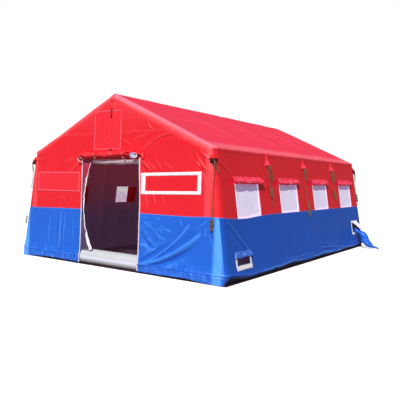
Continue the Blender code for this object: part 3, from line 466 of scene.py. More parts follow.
def shell(raw, inset=0.0):
    """Rounds the edges of the sharp form. raw holds points on its planes, and the result is the
    rounded points and the directions straight out of them."""
    x, y, z = (raw[..., k] for k in range(3))
    sign_x, sign_y = np.where(x < 0, -1.0, 1.0), np.where(y < 0, -1.0, 1.0)
    q, far = nearest_inset(np.abs(x), z, inset)
    safe = np.maximum(far, 1e-9)
    out_x, out_z = (np.abs(x) - q[0]) / safe, (z - q[1]) / safe
    section_depth = SECTION_ROUND - np.minimum(far, SECTION_ROUND)
    end_depth = end_y(z, inset) - np.abs(y)
    # Over the rakes the end's rounding is shorter along the tent, most of all at the ridge
    over = ease(0.25, 0.8, out_z)
    long = END_ROUND - over * (0.08 - 0.06 * ease(0.2, 1.6, np.abs(x)))
    a = np.maximum(END_ROUND - section_depth, 0) / END_ROUND
    b = np.maximum(long - end_depth, 0) / long
    size = np.maximum(np.hypot(a, b), 1e-9)
    a, b = a / size, b / size
    # The cover is pulled taut over the eave, so its edge there is crisper than the rest
    on_plane = np.maximum(out_x + out_z * SIDE_LEAN, 0) / SIDE_HYP
    on_plane = np.maximum(on_plane, (out_x * ROOF_SLOPE + out_z) / ROOF_HYP)
    taut = 0 if inset else 0.85
    crisp = 1 + taut * (1 / np.clip(on_plane, 0.7, 1) - 1)
    reach = SECTION_ROUND * crisp - END_ROUND * (1 - a)
    new_x = np.where(a > 0, np.maximum(q[0] + out_x * reach, 0), np.abs(x))
    new_z = np.where(a > 0, q[1] + out_z * reach, z)
    new_y = np.where(b > 0, end_y(new_z, inset) - long * (1 - b), np.abs(y))
    points = stack(new_x * sign_x, new_y * sign_y, new_z)
    level = out_x * ease(0.0, 0.06, np.abs(x))
    normals = stack(level * sign_x * a, sign_y * b * END_ROUND / long, out_z * a)
    return points, normals / np.maximum(np.linalg.norm(normals, axis=-1), 1e-6)[..., None]


def fan(rng, corner, low, high, count, reach, height, width, start=0.04, bow=0.0):
    """Folds that spread from a corner, as (x0, z0, x1, z1, height, width, bow) each."""
    out = []
    for k in range(count):
        angle = math.radians(low + (high - low) * (k + rng.uniform(0.15, 0.85)) / count)
        long = rng.uniform(*reach)
        dx, dz = math.cos(angle), math.sin(angle)
        sign = 1 if k % 2 else -0.7
        out.append(
            (corner[0] + dx * start, corner[1] + dz * start, corner[0] + dx * long,
             corner[1] + dz * long, sign * height * rng.uniform(0.6, 1.2),
             width * rng.uniform(0.7, 1.3), bow * rng.uniform(0.5, 1.3))
        )
    return out


def hanging(rng, x_range, top_range, bottom_range, count, height, width, lean=0.0, bow=0.03):
    """Upright folds between two heights."""
    out = []
    for k in range(count):
        x = x_range[0] + (x_range[1] - x_range[0]) * (k + rng.uniform(0.1, 0.9)) / count
        top, bottom = rng.uniform(*top_range), rng.uniform(*bottom_range)
        drift = (lean + rng.uniform(-0.12, 0.12)) * (top - bottom)
        out.append((
            x, top, x + drift, bottom, height * rng.uniform(-1, 1.3),
            width * rng.uniform(0.6, 1.4), bow * rng.uniform(-1, 1),
        ))
    return out


def crease_height(u, v, creases):
    """How far the folds lift the cloth at each (u, v)."""
    total = np.zeros_like(u)
    for u0, v0, u1, v1, height, width, bow in creases:
        du, dv = u1 - u0, v1 - v0
        long = math.hypot(du, dv)
        along = ((u - u0) * du + (v - v0) * dv) / (long * long)
        t = np.clip(along, 0, 1)
        off = ((u - u0) * dv - (v - v0) * du) / long - bow * 4 * t * (1 - t)
        beyond = np.abs(along - t) * long
        wide = width * (0.55 + 0.45 * t)
        taper = np.sin(math.pi * np.clip(0.06 + 0.94 * t, 0, 1)) ** 0.7
        total += height * np.exp(-np.hypot(off, beyond) ** 2 / wide ** 2) * taper
    return total


# Folds of the front wall's cloth that show in the photograph:
# (x0, z0, x1, z1, height, width, bow), a hollow where the height is below 0
FRONT_FOLDS = (
    (0.753, 0.158, 1.83, 0.937, 0.020, 0.026, 0.105),
    (0.78, 0.16, 2.06, 0.795, 0.030, 0.050, 0.100),
    (1.03, 0.157, 1.865, 0.535, -0.020, 0.035, 0.050),
    (0.752, 0.190, 1.283, 0.500, -0.018, 0.034, 0.0),
    (0.797, 0.697, 1.085, 0.448, -0.020, 0.040, 0.033),
    (0.788, 0.512, 1.137, 0.414, 0.014, 0.034, 0.0),
    (1.183, 0.843, 1.48, 0.775, 0.007, 0.014, 0.0),
    (1.105, 0.721, 1.359, 0.614, 0.009, 0.018, 0.01),
    (1.229, 0.577, 1.345, 0.562, 0.007, 0.016, 0.0),
    (1.034, 0.794, 1.479, 0.788, 0.007, 0.014, 0.01),
    (0.90, 0.86, 1.20, 0.70, 0.006, 0.014, -0.01),
    (0.782, 0.987, 0.957, 0.958, 0.007, 0.014, 0.0),
    (1.092, 0.992, 1.227, 0.948, 0.006, 0.014, 0.0),
    (0.80, 0.93, 1.05, 0.83, 0.006, 0.014, 0.01),
    (1.61, 1.022, 1.682, 0.828, 0.005, 0.020, 0.0),
    (2.166, 0.731, 2.176, 0.541, -0.009, 0.016, 0.0),
    (2.248, 0.833, 2.285, 0.646, -0.010, 0.016, 0.0),
    (2.145, 0.874, 2.102, 0.714, 0.006, 0.016, 0.0),
    (1.95, 0.86, 2.18, 0.98, 0.004, 0.018, 0.0),
    (0.732, 2.121, 1.358, 2.41, 0.006, 0.016, -0.045),
    (1.40, 2.36, 0.95, 2.25, -0.004, 0.020, 0.02),
    (1.891, 2.062, 2.114, 1.793, 0.010, 0.015, 0.02),
    (1.859, 1.985, 2.021, 1.811, 0.008, 0.014, 0.015),
    (1.959, 2.118, 2.152, 1.963, 0.009, 0.015, 0.01),
    (1.92, 2.01, 2.10, 1.70, -0.007, 0.014, 0.02),
    (1.82, 2.06, 2.06, 1.72, -0.006, 0.015, 0.02),
    (2.02, 1.84, 2.12, 1.50, 0.006, 0.014, 0.01),
    (1.98, 1.72, 2.06, 1.42, 0.004, 0.016, 0.01),
    (0.754, 1.964, 0.983, 1.767, 0.011, 0.017, 0.01),
    (0.765, 1.93, 0.90, 1.70, -0.008, 0.016, 0.01),
    (0.85, 1.964, 1.075, 1.788, 0.008, 0.015, 0.01),
    (1.041, 1.952, 1.207, 1.799, 0.006, 0.015, 0.0),
    (1.226, 1.93, 1.438, 1.80, 0.005, 0.015, 0.0),
    (1.0, 1.93, 1.15, 1.80, -0.004, 0.014, 0.0),
    (0.997, 1.448, 1.098, 1.198, 0.009, 0.016, 0.0),
    (0.83, 1.75, 0.93, 1.10, 0.004, 0.020, 0.02),
    (1.22, 1.36, 1.30, 1.20, 0.004, 0.014, 0.0),
    (-0.138, 3.021, 0.114, 2.872, 0.006, 0.014, 0.0),
    (-0.015, 3.034, 0.173, 2.89, 0.005, 0.013, 0.0),
    (-0.019, 3.10, -0.137, 2.999, 0.004, 0.013, 0.0),
    (0.514, 2.528, 0.631, 2.46, 0.006, 0.013, 0.0),
    (0.846, 2.596, 0.975, 2.456, 0.006, 0.014, 0.0),
    (0.32, 2.343, 0.558, 2.209, 0.006, 0.016, 0.0),
    (0.60, 2.33, 0.90, 2.42, 0.004, 0.016, 0.0),
    (-0.79, 1.99, -1.20, 1.70, 0.006, 0.018, -0.02),
    (-0.80, 1.93, -1.02, 1.74, -0.005, 0.018, 0.0),
    (-0.80, 2.05, -1.30, 1.93, 0.004, 0.020, 0.0),
    (-2.20, 1.92, -1.95, 1.78, 0.005, 0.018, 0.0),
    (-2.22, 1.98, -1.85, 2.02, 0.005, 0.018, 0.0),
    (-2.20, 1.86, -2.05, 1.60, 0.005, 0.018, 0.0),
    (-1.30, 0.99, -1.34, 0.22, 0.011, 0.026, 0.01),
    (-1.20, 0.97, -1.23, 0.30, 0.008, 0.020, 0.0),
    (-1.40, 0.95, -1.44, 0.35, -0.008, 0.028, 0.0),
    (-1.62, 0.90, -1.68, 0.30, 0.005, 0.026, 0.01),
    (-0.95, 0.92, -0.97, 0.40, 0.004, 0.024, 0.0),
)


def front_creases(rng):
    out = [
        (x0, z0, x1, z1, h * (1.2 if z1 < SEAM_HEIGHT else 2.3 if x0 > 0.7 else 1.7), w, bow)
        for x0, z0, x1, z1, h, w, bow in FRONT_FOLDS
    ]
    out += [(0.29, z, 0.42, z - 0.015, -0.005, 0.009, 0.0) for z in np.linspace(2.84, 2.55, 6)]
    out += [
        (0.753, 0.158, 1.83, 0.937, 0.008, 0.011, 0.105),
        (0.78, 0.16, 2.06, 0.795, 0.012, 0.013, 0.10),
    ]
    small = np.random.default_rng(23)
    for box, low, high, count, height in (
        ((0.80, 1.35, 0.60, 0.90), -35, 15, 22, 0.006),
        ((1.35, 2.0, 0.25, 0.95), 20, 60, 12, 0.004),
        ((2.06, 2.34, 0.16, 0.95), 70, 110, 18, 0.005),
        ((2.06, 2.22, 1.45, 2.05), 95, 135, 16, 0.005),
        ((0.80, 1.30, 1.72, 1.95), -60, -30, 8, 0.005),
        ((-2.3, -0.85, 0.2, 0.95), 80, 100, 14, 0.005),
    ):
        for k in range(count):
            x, z = small.uniform(box[0], box[1]), small.uniform(box[2], box[3])
            angle, long = math.radians(small.uniform(low, high)), small.uniform(0.06, 0.2)
            out.append((x, z, x + long * math.cos(angle), z + long * math.sin(angle),
                        height * small.uniform(-0.8, 1.2), small.uniform(0.008, 0.014), 0.0))
    out += hanging(rng, (0.82, 2.2), (1.36, 1.40), (1.05, 1.15), 7, 0.003, 0.018, 0.25)
    out += hanging(rng, (-1.9, -0.8), (1.3, 1.38), (1.06, 1.15), 5, 0.002, 0.02)
    out += hanging(rng, (-2.4, -0.8), (0.30, 0.36), (0.17, 0.2), 16, 0.005, 0.016, 0.4)
    out += hanging(rng, (0.8, 2.4), (0.13, 0.15), (0.03, 0.05), 22, 0.007, 0.014, 0.8)
    out += hanging(rng, (-2.4, -0.8), (0.13, 0.15), (0.03, 0.05), 20, 0.006, 0.014, 0.8)
    out += hanging(rng, (-2.2, 2.2), (2.43, 2.50), (2.36, 2.44), 34, 0.0035, 0.011)
    out += hanging(rng, (-0.7, 0.8), (2.25, 2.6), (2.1, 2.2), 6, 0.003, 0.025)
    return out


def side_creases(rng, side):
    """Folds of a side wall in (y, z)."""
    out = []
    for station in ARCH_STATIONS[1:-1]:
        out += [(station - 0.015, 1.98, station + 0.02, 2.16, 0.022, 0.018, 0.0)]
        out += fan(rng, (station, 1.92), 200, 340, 4, (0.12, 0.3), 0.003, 0.016)
    out += [
        (-3.36, 1.97, -2.88, 1.70, -0.020, 0.010, 0.0),
        (-3.33, 2.00, -2.86, 1.73, 0.008, 0.013, 0.0),
        (-3.43, 1.83, -3.33, 1.64, -0.012, 0.009, 0.0),
    ]
    for y in BAY_CENTRES:
        out += fan(rng, (y + 0.44, 1.72), 20, 80, 2, (0.15, 0.3), 0.003, 0.014)
    out += hanging(rng, (-3.2, 3.2), (0.85, 1.0), (0.2, 0.5), 12, 0.002, 0.03, 0.2)
    if side == RIGHT:
        out += [
            (-3.199, 1.01, -2.593, 0.485, 0.012, 0.014, 0.0),
            (-3.268, 1.00, -2.625, 0.438, -0.014, 0.024, 0.0),
            (0.75, 1.0, 1.35, 0.55, 0.005, 0.012, 0.0),
            (1.05, 1.0, 1.6, 0.6, 0.005, 0.012, 0.0),
            (0.50, 0.19, 1.22, 0.135, -0.020, 0.022, 0.0),
            (0.52, 0.24, 1.2, 0.19, 0.016, 0.018, 0.0),
            (0.45, 0.36, 1.6, 0.25, 0.007, 0.018, 0.03),
            (1.2, 0.20, 1.9, 0.13, 0.012, 0.018, 0.0),
            (0.9, 0.31, 1.3, 0.26, -0.008, 0.014, 0.0),
            (1.9, 0.12, 2.6, 0.09, 0.012, 0.016, 0.0),
            (2.2, 0.21, 2.8, 0.16, 0.007, 0.015, 0.0),
            (-1.4, 0.19, 0.3, 0.19, 0.006, 0.018, 0.02),
        ]
    return out


def rear_creases(rng):
    out = fan(rng, (2.26, 1.96), 128, 262, 9, (0.4, 1.0), 0.006, 0.02)
    out += fan(rng, (-2.26, 1.96), -80, 50, 9, (0.4, 1.0), 0.006, 0.02)
    out += hanging(rng, (-2.3, 2.3), (0.85, 1.02), (0.15, 0.4), 20, 0.007, 0.026, 0.1)
    out += hanging(rng, (-2.0, 2.0), (1.5, 2.3), (1.06, 1.3), 8, 0.004, 0.03)
    return out


def roof_creases(rng):
    """Folds of one roof slope in (distance from the ridge, y)."""
    out = []
    for y in np.linspace(-3.1, 3.1, 22):
        low = rng.uniform(1.7, 2.0)
        far = y + rng.uniform(-0.2, 0.2)
        out.append((2.42, y, low, far, 0.005 * rng.uniform(-1, 1.3), 0.022, 0.0))
    for y in np.linspace(-3.2, 3.2, 14):
        out.append((0.05, y, rng.uniform(0.3, 0.9), y + rng.uniform(-0.3, 0.3),
                    0.004 * rng.uniform(-1, 1), 0.03, 0.02))
    for station in ARCH_STATIONS:
        out.append((0.1, station, 2.35, station, 0.006, 0.07, 0.0))
    return out


class Folds:
    """The whole cover's folds, worked out once for a seed."""

    def __init__(self, cloth):
        rng = np.random.default_rng(cloth.seed)
        self.cloth = cloth
        self.front = front_creases(rng)
        self.rear = rear_creases(rng)
        self.sides = {side: side_creases(rng, side) for side in (RIGHT, LEFT)}
        self.roof = {side: roof_creases(rng) for side in (RIGHT, LEFT)}

    def shift(self, points, normals):
        """How far the cloth lies outside the smooth form, straight out of it."""
        x, y, z = (points[..., k] for k in range(3))
        front = np.clip(-normals[..., 1], 0, 1) ** 2
        rear = np.clip(normals[..., 1], 0, 1) ** 2
        section = 1 - front - rear
        steep = ease(0.40, 0.95, np.abs(normals[..., 0]) / np.maximum(np.sqrt(section), 1e-6))
        between = np.sin(math.pi * y / ARCH_PITCH) ** 2
        total = front * crease_height(x, z, self.front)
        total += rear * crease_height(-x, z, self.rear)
        slope = np.hypot(x, RIDGE_HEIGHT - z)
        below_rake = (roof_z(x) - z) / ROOF_HYP
        total -= (front + rear) * 0.006 * bump(below_rake - 0.10, 0.014)
        for side in (RIGHT, LEFT):
            mine = section * (x * side > 0)
            total += mine * steep * crease_height(y, z, self.sides[side])
            total += mine * (1 - steep) * crease_height(slope, y, self.roof[side])
        span = np.clip(slope / 2.4, 0, 1)
        sag = self.cloth.roof_sag * (0.25 * span + np.sin(math.pi * span) ** 2)
        total -= section * (1 - steep) * sag * between
        belly = np.clip(z / EAVE_HEIGHT, 0, 1)
        total -= section * steep * self.cloth.wall_sag * between * np.sin(math.pi * belly)
        total += front * 0.008 * noise(points, 0.9, 3) * ease(0, 0.4, 2.6 - np.abs(x))
        rough = creased(points, 0.16, 5) ** 4 * ease(-0.1, 0.5, noise(points, 0.6, 6))
        fine = creased(points, 0.07, 8) ** 5 * ease(0.0, 0.5, noise(points, 0.45, 9))
        taut = 1 - 0.8 * section * steep
        total += taut * (0.004 * noise(points, 0.30, 4) + 0.004 * rough + 0.0025 * fine)
        low = ease(0.36, 0.1, z) * (0.25 + 0.75 * taut)
        total += low * (0.007 * noise(points, 0.13, 11) + 0.006 * creased(points, 0.11, 12) ** 4)
        lip = bump(z - EAVE_HEIGHT + 0.01, 0.04) * section
        total += lip * (0.008 + 0.008 * noise(points, 0.14, 13) + 0.005 * noise(points, 0.06, 14))
        band = (front + rear) * ease(0.11, 0.03, below_rake)
        total += band * (0.005 * noise(points, 0.11, 15) + 0.004 * creased(points, 0.06, 16) ** 3)
        return total * self.cloth.fold_depth


def hem_shape(points, normals):
    """Below its fold line the skirt rests on the ground tube. Along the ends it hangs down from
    there, just clear of the ground, and along the sides it turns in under the tube."""
    x, y, z = (points[..., k] for k in range(3))
    around = stack(x + y, 0, 0)
    at_end = np.clip(np.abs(normals[..., 1]), 0, 1) ** 2
    wavy = 0.014 * noise(around, 0.5, 21) + 0.006 * noise(around, 0.15, 22)
    at_side = 0.100 + 0.060 * ease(2.75, 3.4, np.abs(y)) - 0.02 * ease(1.0, 2.0, y)
    fold = at_side + (0.162 - at_side) * at_end + wavy * (1 + (1 - at_end) * 0.6)
    ridge = 0.010 + (1 - at_end) * 0.010 * (0.6 + noise(around, 0.35, 25))
    out = 0.012 * bump(z - fold, 0.10) + ridge * bump(z - fold, 0.014)
    out -= 0.007 * bump(z - fold + 0.022, 0.010)
    below = np.clip((fold - z) / fold, 0, 1)
    out += at_end * (0.006 * bump(z - fold + 0.042, 0.010) + 0.016 * below)
    under = 0.10 * (1 - np.sqrt(1 - below ** 2)) + SIDE_LEAN * np.clip(fold - z, 0, 1)
    out -= (1 - at_end) * under * (1 + 0.15 * noise(around, 0.33, 23))
    flat = normals.copy()
    flat[..., 2] = 0
    flat /= np.maximum(np.linalg.norm(flat, axis=-1), 1e-6)[..., None]
    moved = points + flat * out[..., None]
    clear = 0.032 * at_end * ease(2.35, 1.7, np.abs(x)) * (1 + 0.3 * noise(around, 0.4, 24))
    hung = np.clip((fold - z) / (fold - 0.012), 0, 1)
    moved[..., 2] = np.maximum(moved[..., 2] + clear * hung, 0.002)
    # The second result is a mask of painted shade where the sides' cloth turns in under the tube,
    # less a painted highlight along the lit ridge over the fold
    lit = bump(z - fold - 0.004, 0.013) * ease(-0.4, 0.5, noise(around, 0.55, 26))
    return moved, (1 - at_end) * (ease(0.10, 0.45, below) - 0.8 * lit)


def drawn(points, normals):
    """Points moved along the cover: the colour seam dips and rises near the front, and the front's
    right-hand half is drawn in, most of all towards its top."""
    x, y, z = (points[..., k] for k in range(3))
    front = np.clip(-normals[..., 1], 0, 1) ** 2
    end = -0.028 * ease(-0.9, -2.3, x) + 0.018 * ease(1.7, 2.3, x)
    wall = -0.034 * bump(y + 2.62, 0.50) + 0.018 * bump(y + 3.42, 0.2)
    moved = points.copy()
    moved[..., 2] += (front * end + (1 - front) * wall) * bump(z - SEAM_HEIGHT, 0.30)
    inwards = (0.014 + 0.040 * ease(1.1, 1.95, z)) * ease(0.84, DOOR_HALF, x) * (x > 0)
    moved[..., 0] -= front * inwards
    return moved


def laid(raw, folds, lift=0.0, hem=False):
    """Points of the finished cover for points of the sharp form, raised by lift, with the folds'
    height and a mask of painted shade below the hem, where the cloth turns in, which is below 0 for
    a painted highlight along the hem's ridge."""
    points, normals = shell(raw)
    height = folds.shift(points, normals)
    points = drawn(points + normals * (height + lift)[..., None], normals)
    tuck_shade = 0.0
    if hem:
        points, tuck_shade = hem_shape(points, normals)
    return points, normals, height, tuck_shade


def in_boxes(us, vs, boxes):
    """Mask of the grid's faces, rows by columns, whose middle lies in one of the boxes."""
    mid_u, mid_v = (us[:-1] + us[1:]) / 2, (vs[:-1] + vs[1:]) / 2
    u, v = np.meshgrid(mid_u, mid_v)
    mask = np.zeros(u.shape, bool)
    for u0, u1, v0, v1 in boxes:
        mask |= (u > u0) & (u < u1) & (v > v0) & (v < v1)
    return mask


def patch(name, us, vs, raw_of, folds, lift=0.0, hem=False, boxes=()):
    """One grid of the cover: us runs along it, vs up it, and boxes are left open."""
    u, v = np.meshgrid(us, vs)
    raw = raw_of(u, v)
    points, normals, height, tuck_shade = laid(raw, folds, lift, hem)
    uv = stack(u, v)
    drop = in_boxes(us, vs, boxes) if boxes else None
    # Crest values: painted highlights on crests, painted shade in hollows and under the hem
    crest = crest_of(height, round(0.07 / (us[2] - us[1]))) - 2.0 * tuck_shade
    return grid_mesh(name, points, uv, normals, drop=drop, crest=crest)


# Materials


class Wire:
    """One output of a material's node, so that its arithmetic is written as Python."""

    def __init__(self, paint, socket):
        self.paint = paint
        self.socket = socket

    def math(self, operation, *values):
        return self.paint.node("ShaderNodeMath", {"operation": operation}, dict(enumerate(values)))

    def __neg__(self):
        return self * -1.0

    def __abs__(self):
        return self.math("ABSOLUTE", self)

    def sin(self):
        return self.math("SINE", self)

    def fract(self):
        return self.math("FRACT", self)

    def clamp(self):
        return self.math("MINIMUM", self.math("MAXIMUM", self, 0.0), 1.0)

    def near(self, centre, half_width):
        """1 where the value is at centre, falling to 0 at half_width from it."""
        return (1.0 - abs(self - centre) / half_width).clamp()

    def above(self, edge, soft):
        """0 below edge and 1 above it, over a soft step."""
        return ((self - edge) / soft + 0.5).clamp()


for sign, operation in (
    ("add", "ADD"), ("sub", "SUBTRACT"), ("mul", "MULTIPLY"), ("truediv", "DIVIDE"),
    ("pow", "POWER"),
):
    setattr(Wire, f"__{sign}__", lambda self, other, kind=operation: self.math(kind, self, other))
    setattr(Wire, f"__r{sign}__", lambda self, other, kind=operation: self.math(kind, other, self))


class Paint:
    """Builds one procedural material on a Principled shader."""

    def __init__(self, name, **constants):
        self.material = bpy.data.materials.new(name)
        self.material.use_nodes = True
        self.tree = self.material.node_tree
        self.shader = self.tree.nodes["Principled BSDF"]
        for socket, value in constants.items():
            self.shader.inputs[socket.replace("_", " ")].default_value = value
        self.relief = None
        self.place = self.node("ShaderNodeTexCoord", output="Object")
        self.x, self.y, self.z = self.parts(self.place)
        self.u, self.v, _ = self.parts(self.node("ShaderNodeTexCoord", output="UV"))

    def node(self, kind, settings=None, sockets=None, output=0):
        made = self.tree.nodes.new(kind)
        for key, value in (settings or {}).items():
            setattr(made, key, value)
        for key, value in (sockets or {}).items():
            if isinstance(value, Wire):
                self.tree.links.new(value.socket, made.inputs[key])
            else:
                made.inputs[key].default_value = value
        return Wire(self, made.outputs[output])

    def parts(self, vector):
        split = self.node("ShaderNodeSeparateXYZ", sockets={0: vector})
        return [Wire(self, output) for output in split.socket.node.outputs]

    def noise(self, scale, detail=3.0, roughness=0.55, distortion=0.0, stretch=None):
        """Noise over the piece's place, which may be stretched along the axes."""
        place = self.place
        if stretch:
            sockets = {0: place, 1: stretch}
            place = self.node("ShaderNodeVectorMath", {"operation": "MULTIPLY"}, sockets)
        sockets = {"Vector": place, "Scale": scale, "Detail": detail, "Roughness": roughness}
        sockets["Distortion"] = distortion
        return self.node("ShaderNodeTexNoise", sockets=sockets)

    def ridges(self, *noise, **more):
        """The same noise with sharp crests."""
        return 1.0 - abs(self.noise(*noise, **more) - 0.5) * 2.0

    def mix(self, first, second, factor):
        first, second = (c if isinstance(c, Wire) else (*c, 1.0) for c in (first, second))
        sockets = {6: first, 7: second, 0: factor}
        return self.node("ShaderNodeMix", {"data_type": "RGBA"}, sockets, 2)

    def feed(self, socket, value):
        self.tree.links.new(value.socket, self.shader.inputs[socket])

    def raise_by(self, height, distance):
        """Adds relief: height from 0 to 1 stands for that distance in metres."""
        sockets = {"Height": height, "Distance": distance, "Strength": 1.0}
        if self.relief:
            sockets["Normal"] = self.relief
        self.relief = self.node("ShaderNodeBump", sockets=sockets)
        self.feed("Normal", self.relief)

    def done(self, base, roughness):
        self.feed("Base Color", base)
        self.feed("Roughness", roughness)
        return self.material


def coated_cloth(
    name, colour, pale, deep, seams=(), highlight_bands=(), roughness=0.42, crinkle=1.0, dirt=0.15, glow=0.12,
    shine=0.3, soft=0.0,
):
    """Plastic-coated cloth: weave, crinkles, mottled colour, pale seams and dust, with painted
    highlights on its folds' crests and painted shade in their hollows. Painted highlights also run
    along strips where it is bent over a tube or round a corner, and painted shade lies where it
    turns in under a tube. Its inner face has a painted glow for the daylight outside, and soft
    gives its outer face one."""
    paint = Paint(name, Specular_IOR_Level=shine, Emission_Strength=1.0)
    x, y, z, u, v = paint.x, paint.y, paint.z, paint.u, paint.v
    fold = paint.node("ShaderNodeAttribute", {"attribute_name": "crest"}, output="Fac")
    cloudy = paint.noise(3.5, 4.0)
    worn = paint.noise(14.0, 6.0, 0.65)
    small = paint.ridges(24.0, 4.0, 0.6, 0.5)
    tone = (paint.noise(0.8, 3.0) - 0.5) * 0.8 + (cloudy - 0.5) * 0.5 + 0.62
    base = paint.mix(deep, colour, tone.clamp())
    # Painted shade in the folds' hollows and painted highlights on their crests, from the crest
    # values
    base = paint.mix(base, deep, (fold * -0.6).clamp())
    base = paint.mix(base, pale, (fold * 0.48 - 0.06).clamp())
    rake = (RIDGE_HEIGHT - abs(x) * ROOF_SLOPE - z) / ROOF_HYP
    runs = {"x": x, "y": y, "z": z, "u": u, "v": v, "rake": rake}
    # Painted highlights along the given strips, over the rounded edges and corners
    for axis, centre, half_width, strength in highlight_bands:
        band = runs[axis].near(centre, half_width).above(0.35, 0.5)
        base = paint.mix(base, pale, (band * (small * 0.9 + 0.2) * strength).clamp())
    # A welded seam is a raised band with a fine line along each edge
    height = None
    for axis, centre, half_width in seams:
        band = runs[axis].near(centre, half_width * 1.15).above(0.13, 0.05)
        edges = abs(runs[axis] - centre).near(half_width, 0.004)
        base = paint.mix(base, pale, (edges * 0.50 + band * 0.10).clamp())
        height = band if height is None else height + band
    dust = (z.near(0.0, 0.22) * (worn * 1.8 - 0.55).clamp() * dirt).clamp()
    base = paint.mix(base, (0.30, 0.29, 0.28), dust)
    base = paint.mix(base, deep, ((worn - 0.62).clamp() * 1.2).clamp())
    # Painted shade, near black, where the cloth turns in under the tube
    base = paint.mix(base, (0.001, 0.002, 0.010), ((-fold - 1.0) * 1.1).clamp())
    # Painted glow: the inner face glows with glow times the deep colour and the outer face with
    # soft times it
    behind = paint.node("ShaderNodeNewGeometry", output="Backfacing")
    outer, inner = ([c * light for c in deep] for light in (soft, glow))
    paint.feed("Emission Color", paint.mix(outer, inner, behind))
    weave = (u * 2600.0).sin() * (v * 2600.0).sin()
    paint.raise_by(weave * 0.5 + 0.5, 0.00012)
    ridges = paint.ridges(7.0, 4.0, 0.6, 0.8)
    paint.raise_by(ridges ** 3.0 * 0.5 + small ** 3.0 * 0.3, 0.0014 * crinkle)
    if height is not None:
        paint.raise_by(height.clamp(), 0.0012)
    return paint.done(base, (roughness + (cloudy - 0.5) * 0.22 + dust * 0.3 - fold * 0.06).clamp())


def lining_cloth():
    """Thin lining whose colour is painted light through the cover outside it: redder above and
    darker and bluer below, and it glows with that colour.
    """
    paint = Paint("tent_lining", Sheen_Weight=0.1, Specular_IOR_Level=0.1, Emission_Strength=0.8)
    cloudy = paint.noise(2.5, 4.0)
    upper = paint.mix((0.105, 0.016, 0.030), (0.135, 0.022, 0.040), cloudy)
    lower = paint.mix((0.036, 0.015, 0.036), (0.058, 0.028, 0.062), cloudy)
    wavy = paint.z + (cloudy - 0.5) * 0.25
    base = paint.mix(lower, upper, wavy.above(1.15, 0.9))
    seam = abs((paint.y / ARCH_PITCH).fract() - 0.5).near(0.5, 0.008)
    base = paint.mix(base, (0.22, 0.08, 0.11), seam * 0.35)
    # Painted glow in the lining's own colour
    paint.feed("Emission Color", base)
    paint.raise_by(paint.ridges(5.0, 4.0, 0.6, 0.7) ** 3.0, 0.006)
    paint.raise_by(paint.noise(900.0, 2.0), 0.0002)
    return paint.done(base, 0.72 + cloudy * 0.15)


def window_film():
    """Milky film with a painted glow for the daylight behind it, stronger on its inner face."""
    paint = Paint(
        "tent_window_film", Coat_Weight=0.25, Coat_Roughness=0.2, Specular_IOR_Level=0.2,
        Emission_Strength=1.0,
    )
    cloudy = paint.noise(3.0, 3.0)
    streaks = paint.noise(4.0, 3.0, stretch=(1.0, 6.0, 1.0))
    creases = paint.ridges(9.0, 3.0, 0.6, 0.5)
    behind = paint.node("ShaderNodeNewGeometry", output="Backfacing")
    # Painted glow of the inner face, changing with height, with painted shade in its creases
    inner = paint.mix((0.52, 0.42, 0.56), (0.55, 0.60, 0.55), paint.z.above(1.30, 0.12))
    inner = paint.mix(inner, (0.28, 0.26, 0.30), (creases ** 8.0 * 0.7).clamp())
    paint.feed("Emission Color", paint.mix((0.060, 0.030, 0.165), inner, behind))
    paint.raise_by(1.0 - abs(cloudy - 0.5) * 2.0, 0.004)
    paint.raise_by(streaks, 0.002)
    shade = (cloudy * 0.6 + streaks * 0.5).clamp()
    return paint.done(paint.mix((0.93, 0.88, 0.97), (1.0, 0.95, 1.0), shade), 0.30 + cloudy * 0.12)


def webbing(name, colour, shade, sheen=0.2):
    """Woven tape: fine ribs across and along it, and some soiling."""
    paint = Paint(name, Sheen_Weight=sheen, Specular_IOR_Level=0.3)
    cloudy = paint.noise(6.0, 4.0)
    soil = paint.noise(22.0, 5.0, 0.65)
    base = paint.mix(shade, colour, (cloudy * 1.3 + 0.1).clamp())
    base = paint.mix(base, (0.45, 0.40, 0.38), ((soil - 0.6) * 2.2).clamp())
    paint.raise_by((paint.v * 840.0).sin() * 0.5 + (paint.u * 1260.0).sin() * 0.25 + 0.5, 0.0004)
    return paint.done(base, 0.55 + cloudy * 0.2)


def rope_fibre():
    """Braided rope: two sets of strands that cross, olive with painted shade in the hollows between
    them.
    """
    paint = Paint("tent_rope", Sheen_Weight=0.15, Specular_IOR_Level=0.25)
    cloudy = paint.noise(18.0, 4.0)
    around, along = paint.u * 4.0, paint.v * 140.0
    left, right = ((run * (2 * math.pi)).sin() for run in (around + along, around - along))
    strands = (abs(left) * 0.5 + abs(right) * 0.5).clamp()
    shade = (strands * 0.7 + cloudy * 0.4).clamp()
    paint.raise_by(strands, 0.0012)
    # Darker in the hollows between strands, as painted shade, and at random
    base = paint.mix((0.030, 0.024, 0.012), (0.235, 0.175, 0.080), shade)
    return paint.done(base, 0.70 + cloudy * 0.2)


def net_cloth():
    """Fine mesh that lets part of the inside show through."""
    paint = Paint("tent_net", Alpha=0.72, Specular_IOR_Level=0.1)
    cloudy = paint.noise(4.0, 4.0)
    ridges = paint.ridges(5.0, 3.0, stretch=(3.0, 3.0, 0.6))
    low = paint.mix((0.040, 0.036, 0.110), (0.080, 0.066, 0.18), cloudy)
    high = paint.mix((0.56, 0.020, 0.055), (0.68, 0.036, 0.085), cloudy)
    base = paint.mix(low, high, paint.z.above(1.45, 0.8))
    base = paint.mix(base, (0.34, 0.20, 0.34), (ridges ** 10.0 * 0.35).clamp())
    paint.raise_by(ridges ** 3.0, 0.003)
    return paint.done(base, 0.6 + cloudy * 0.2)


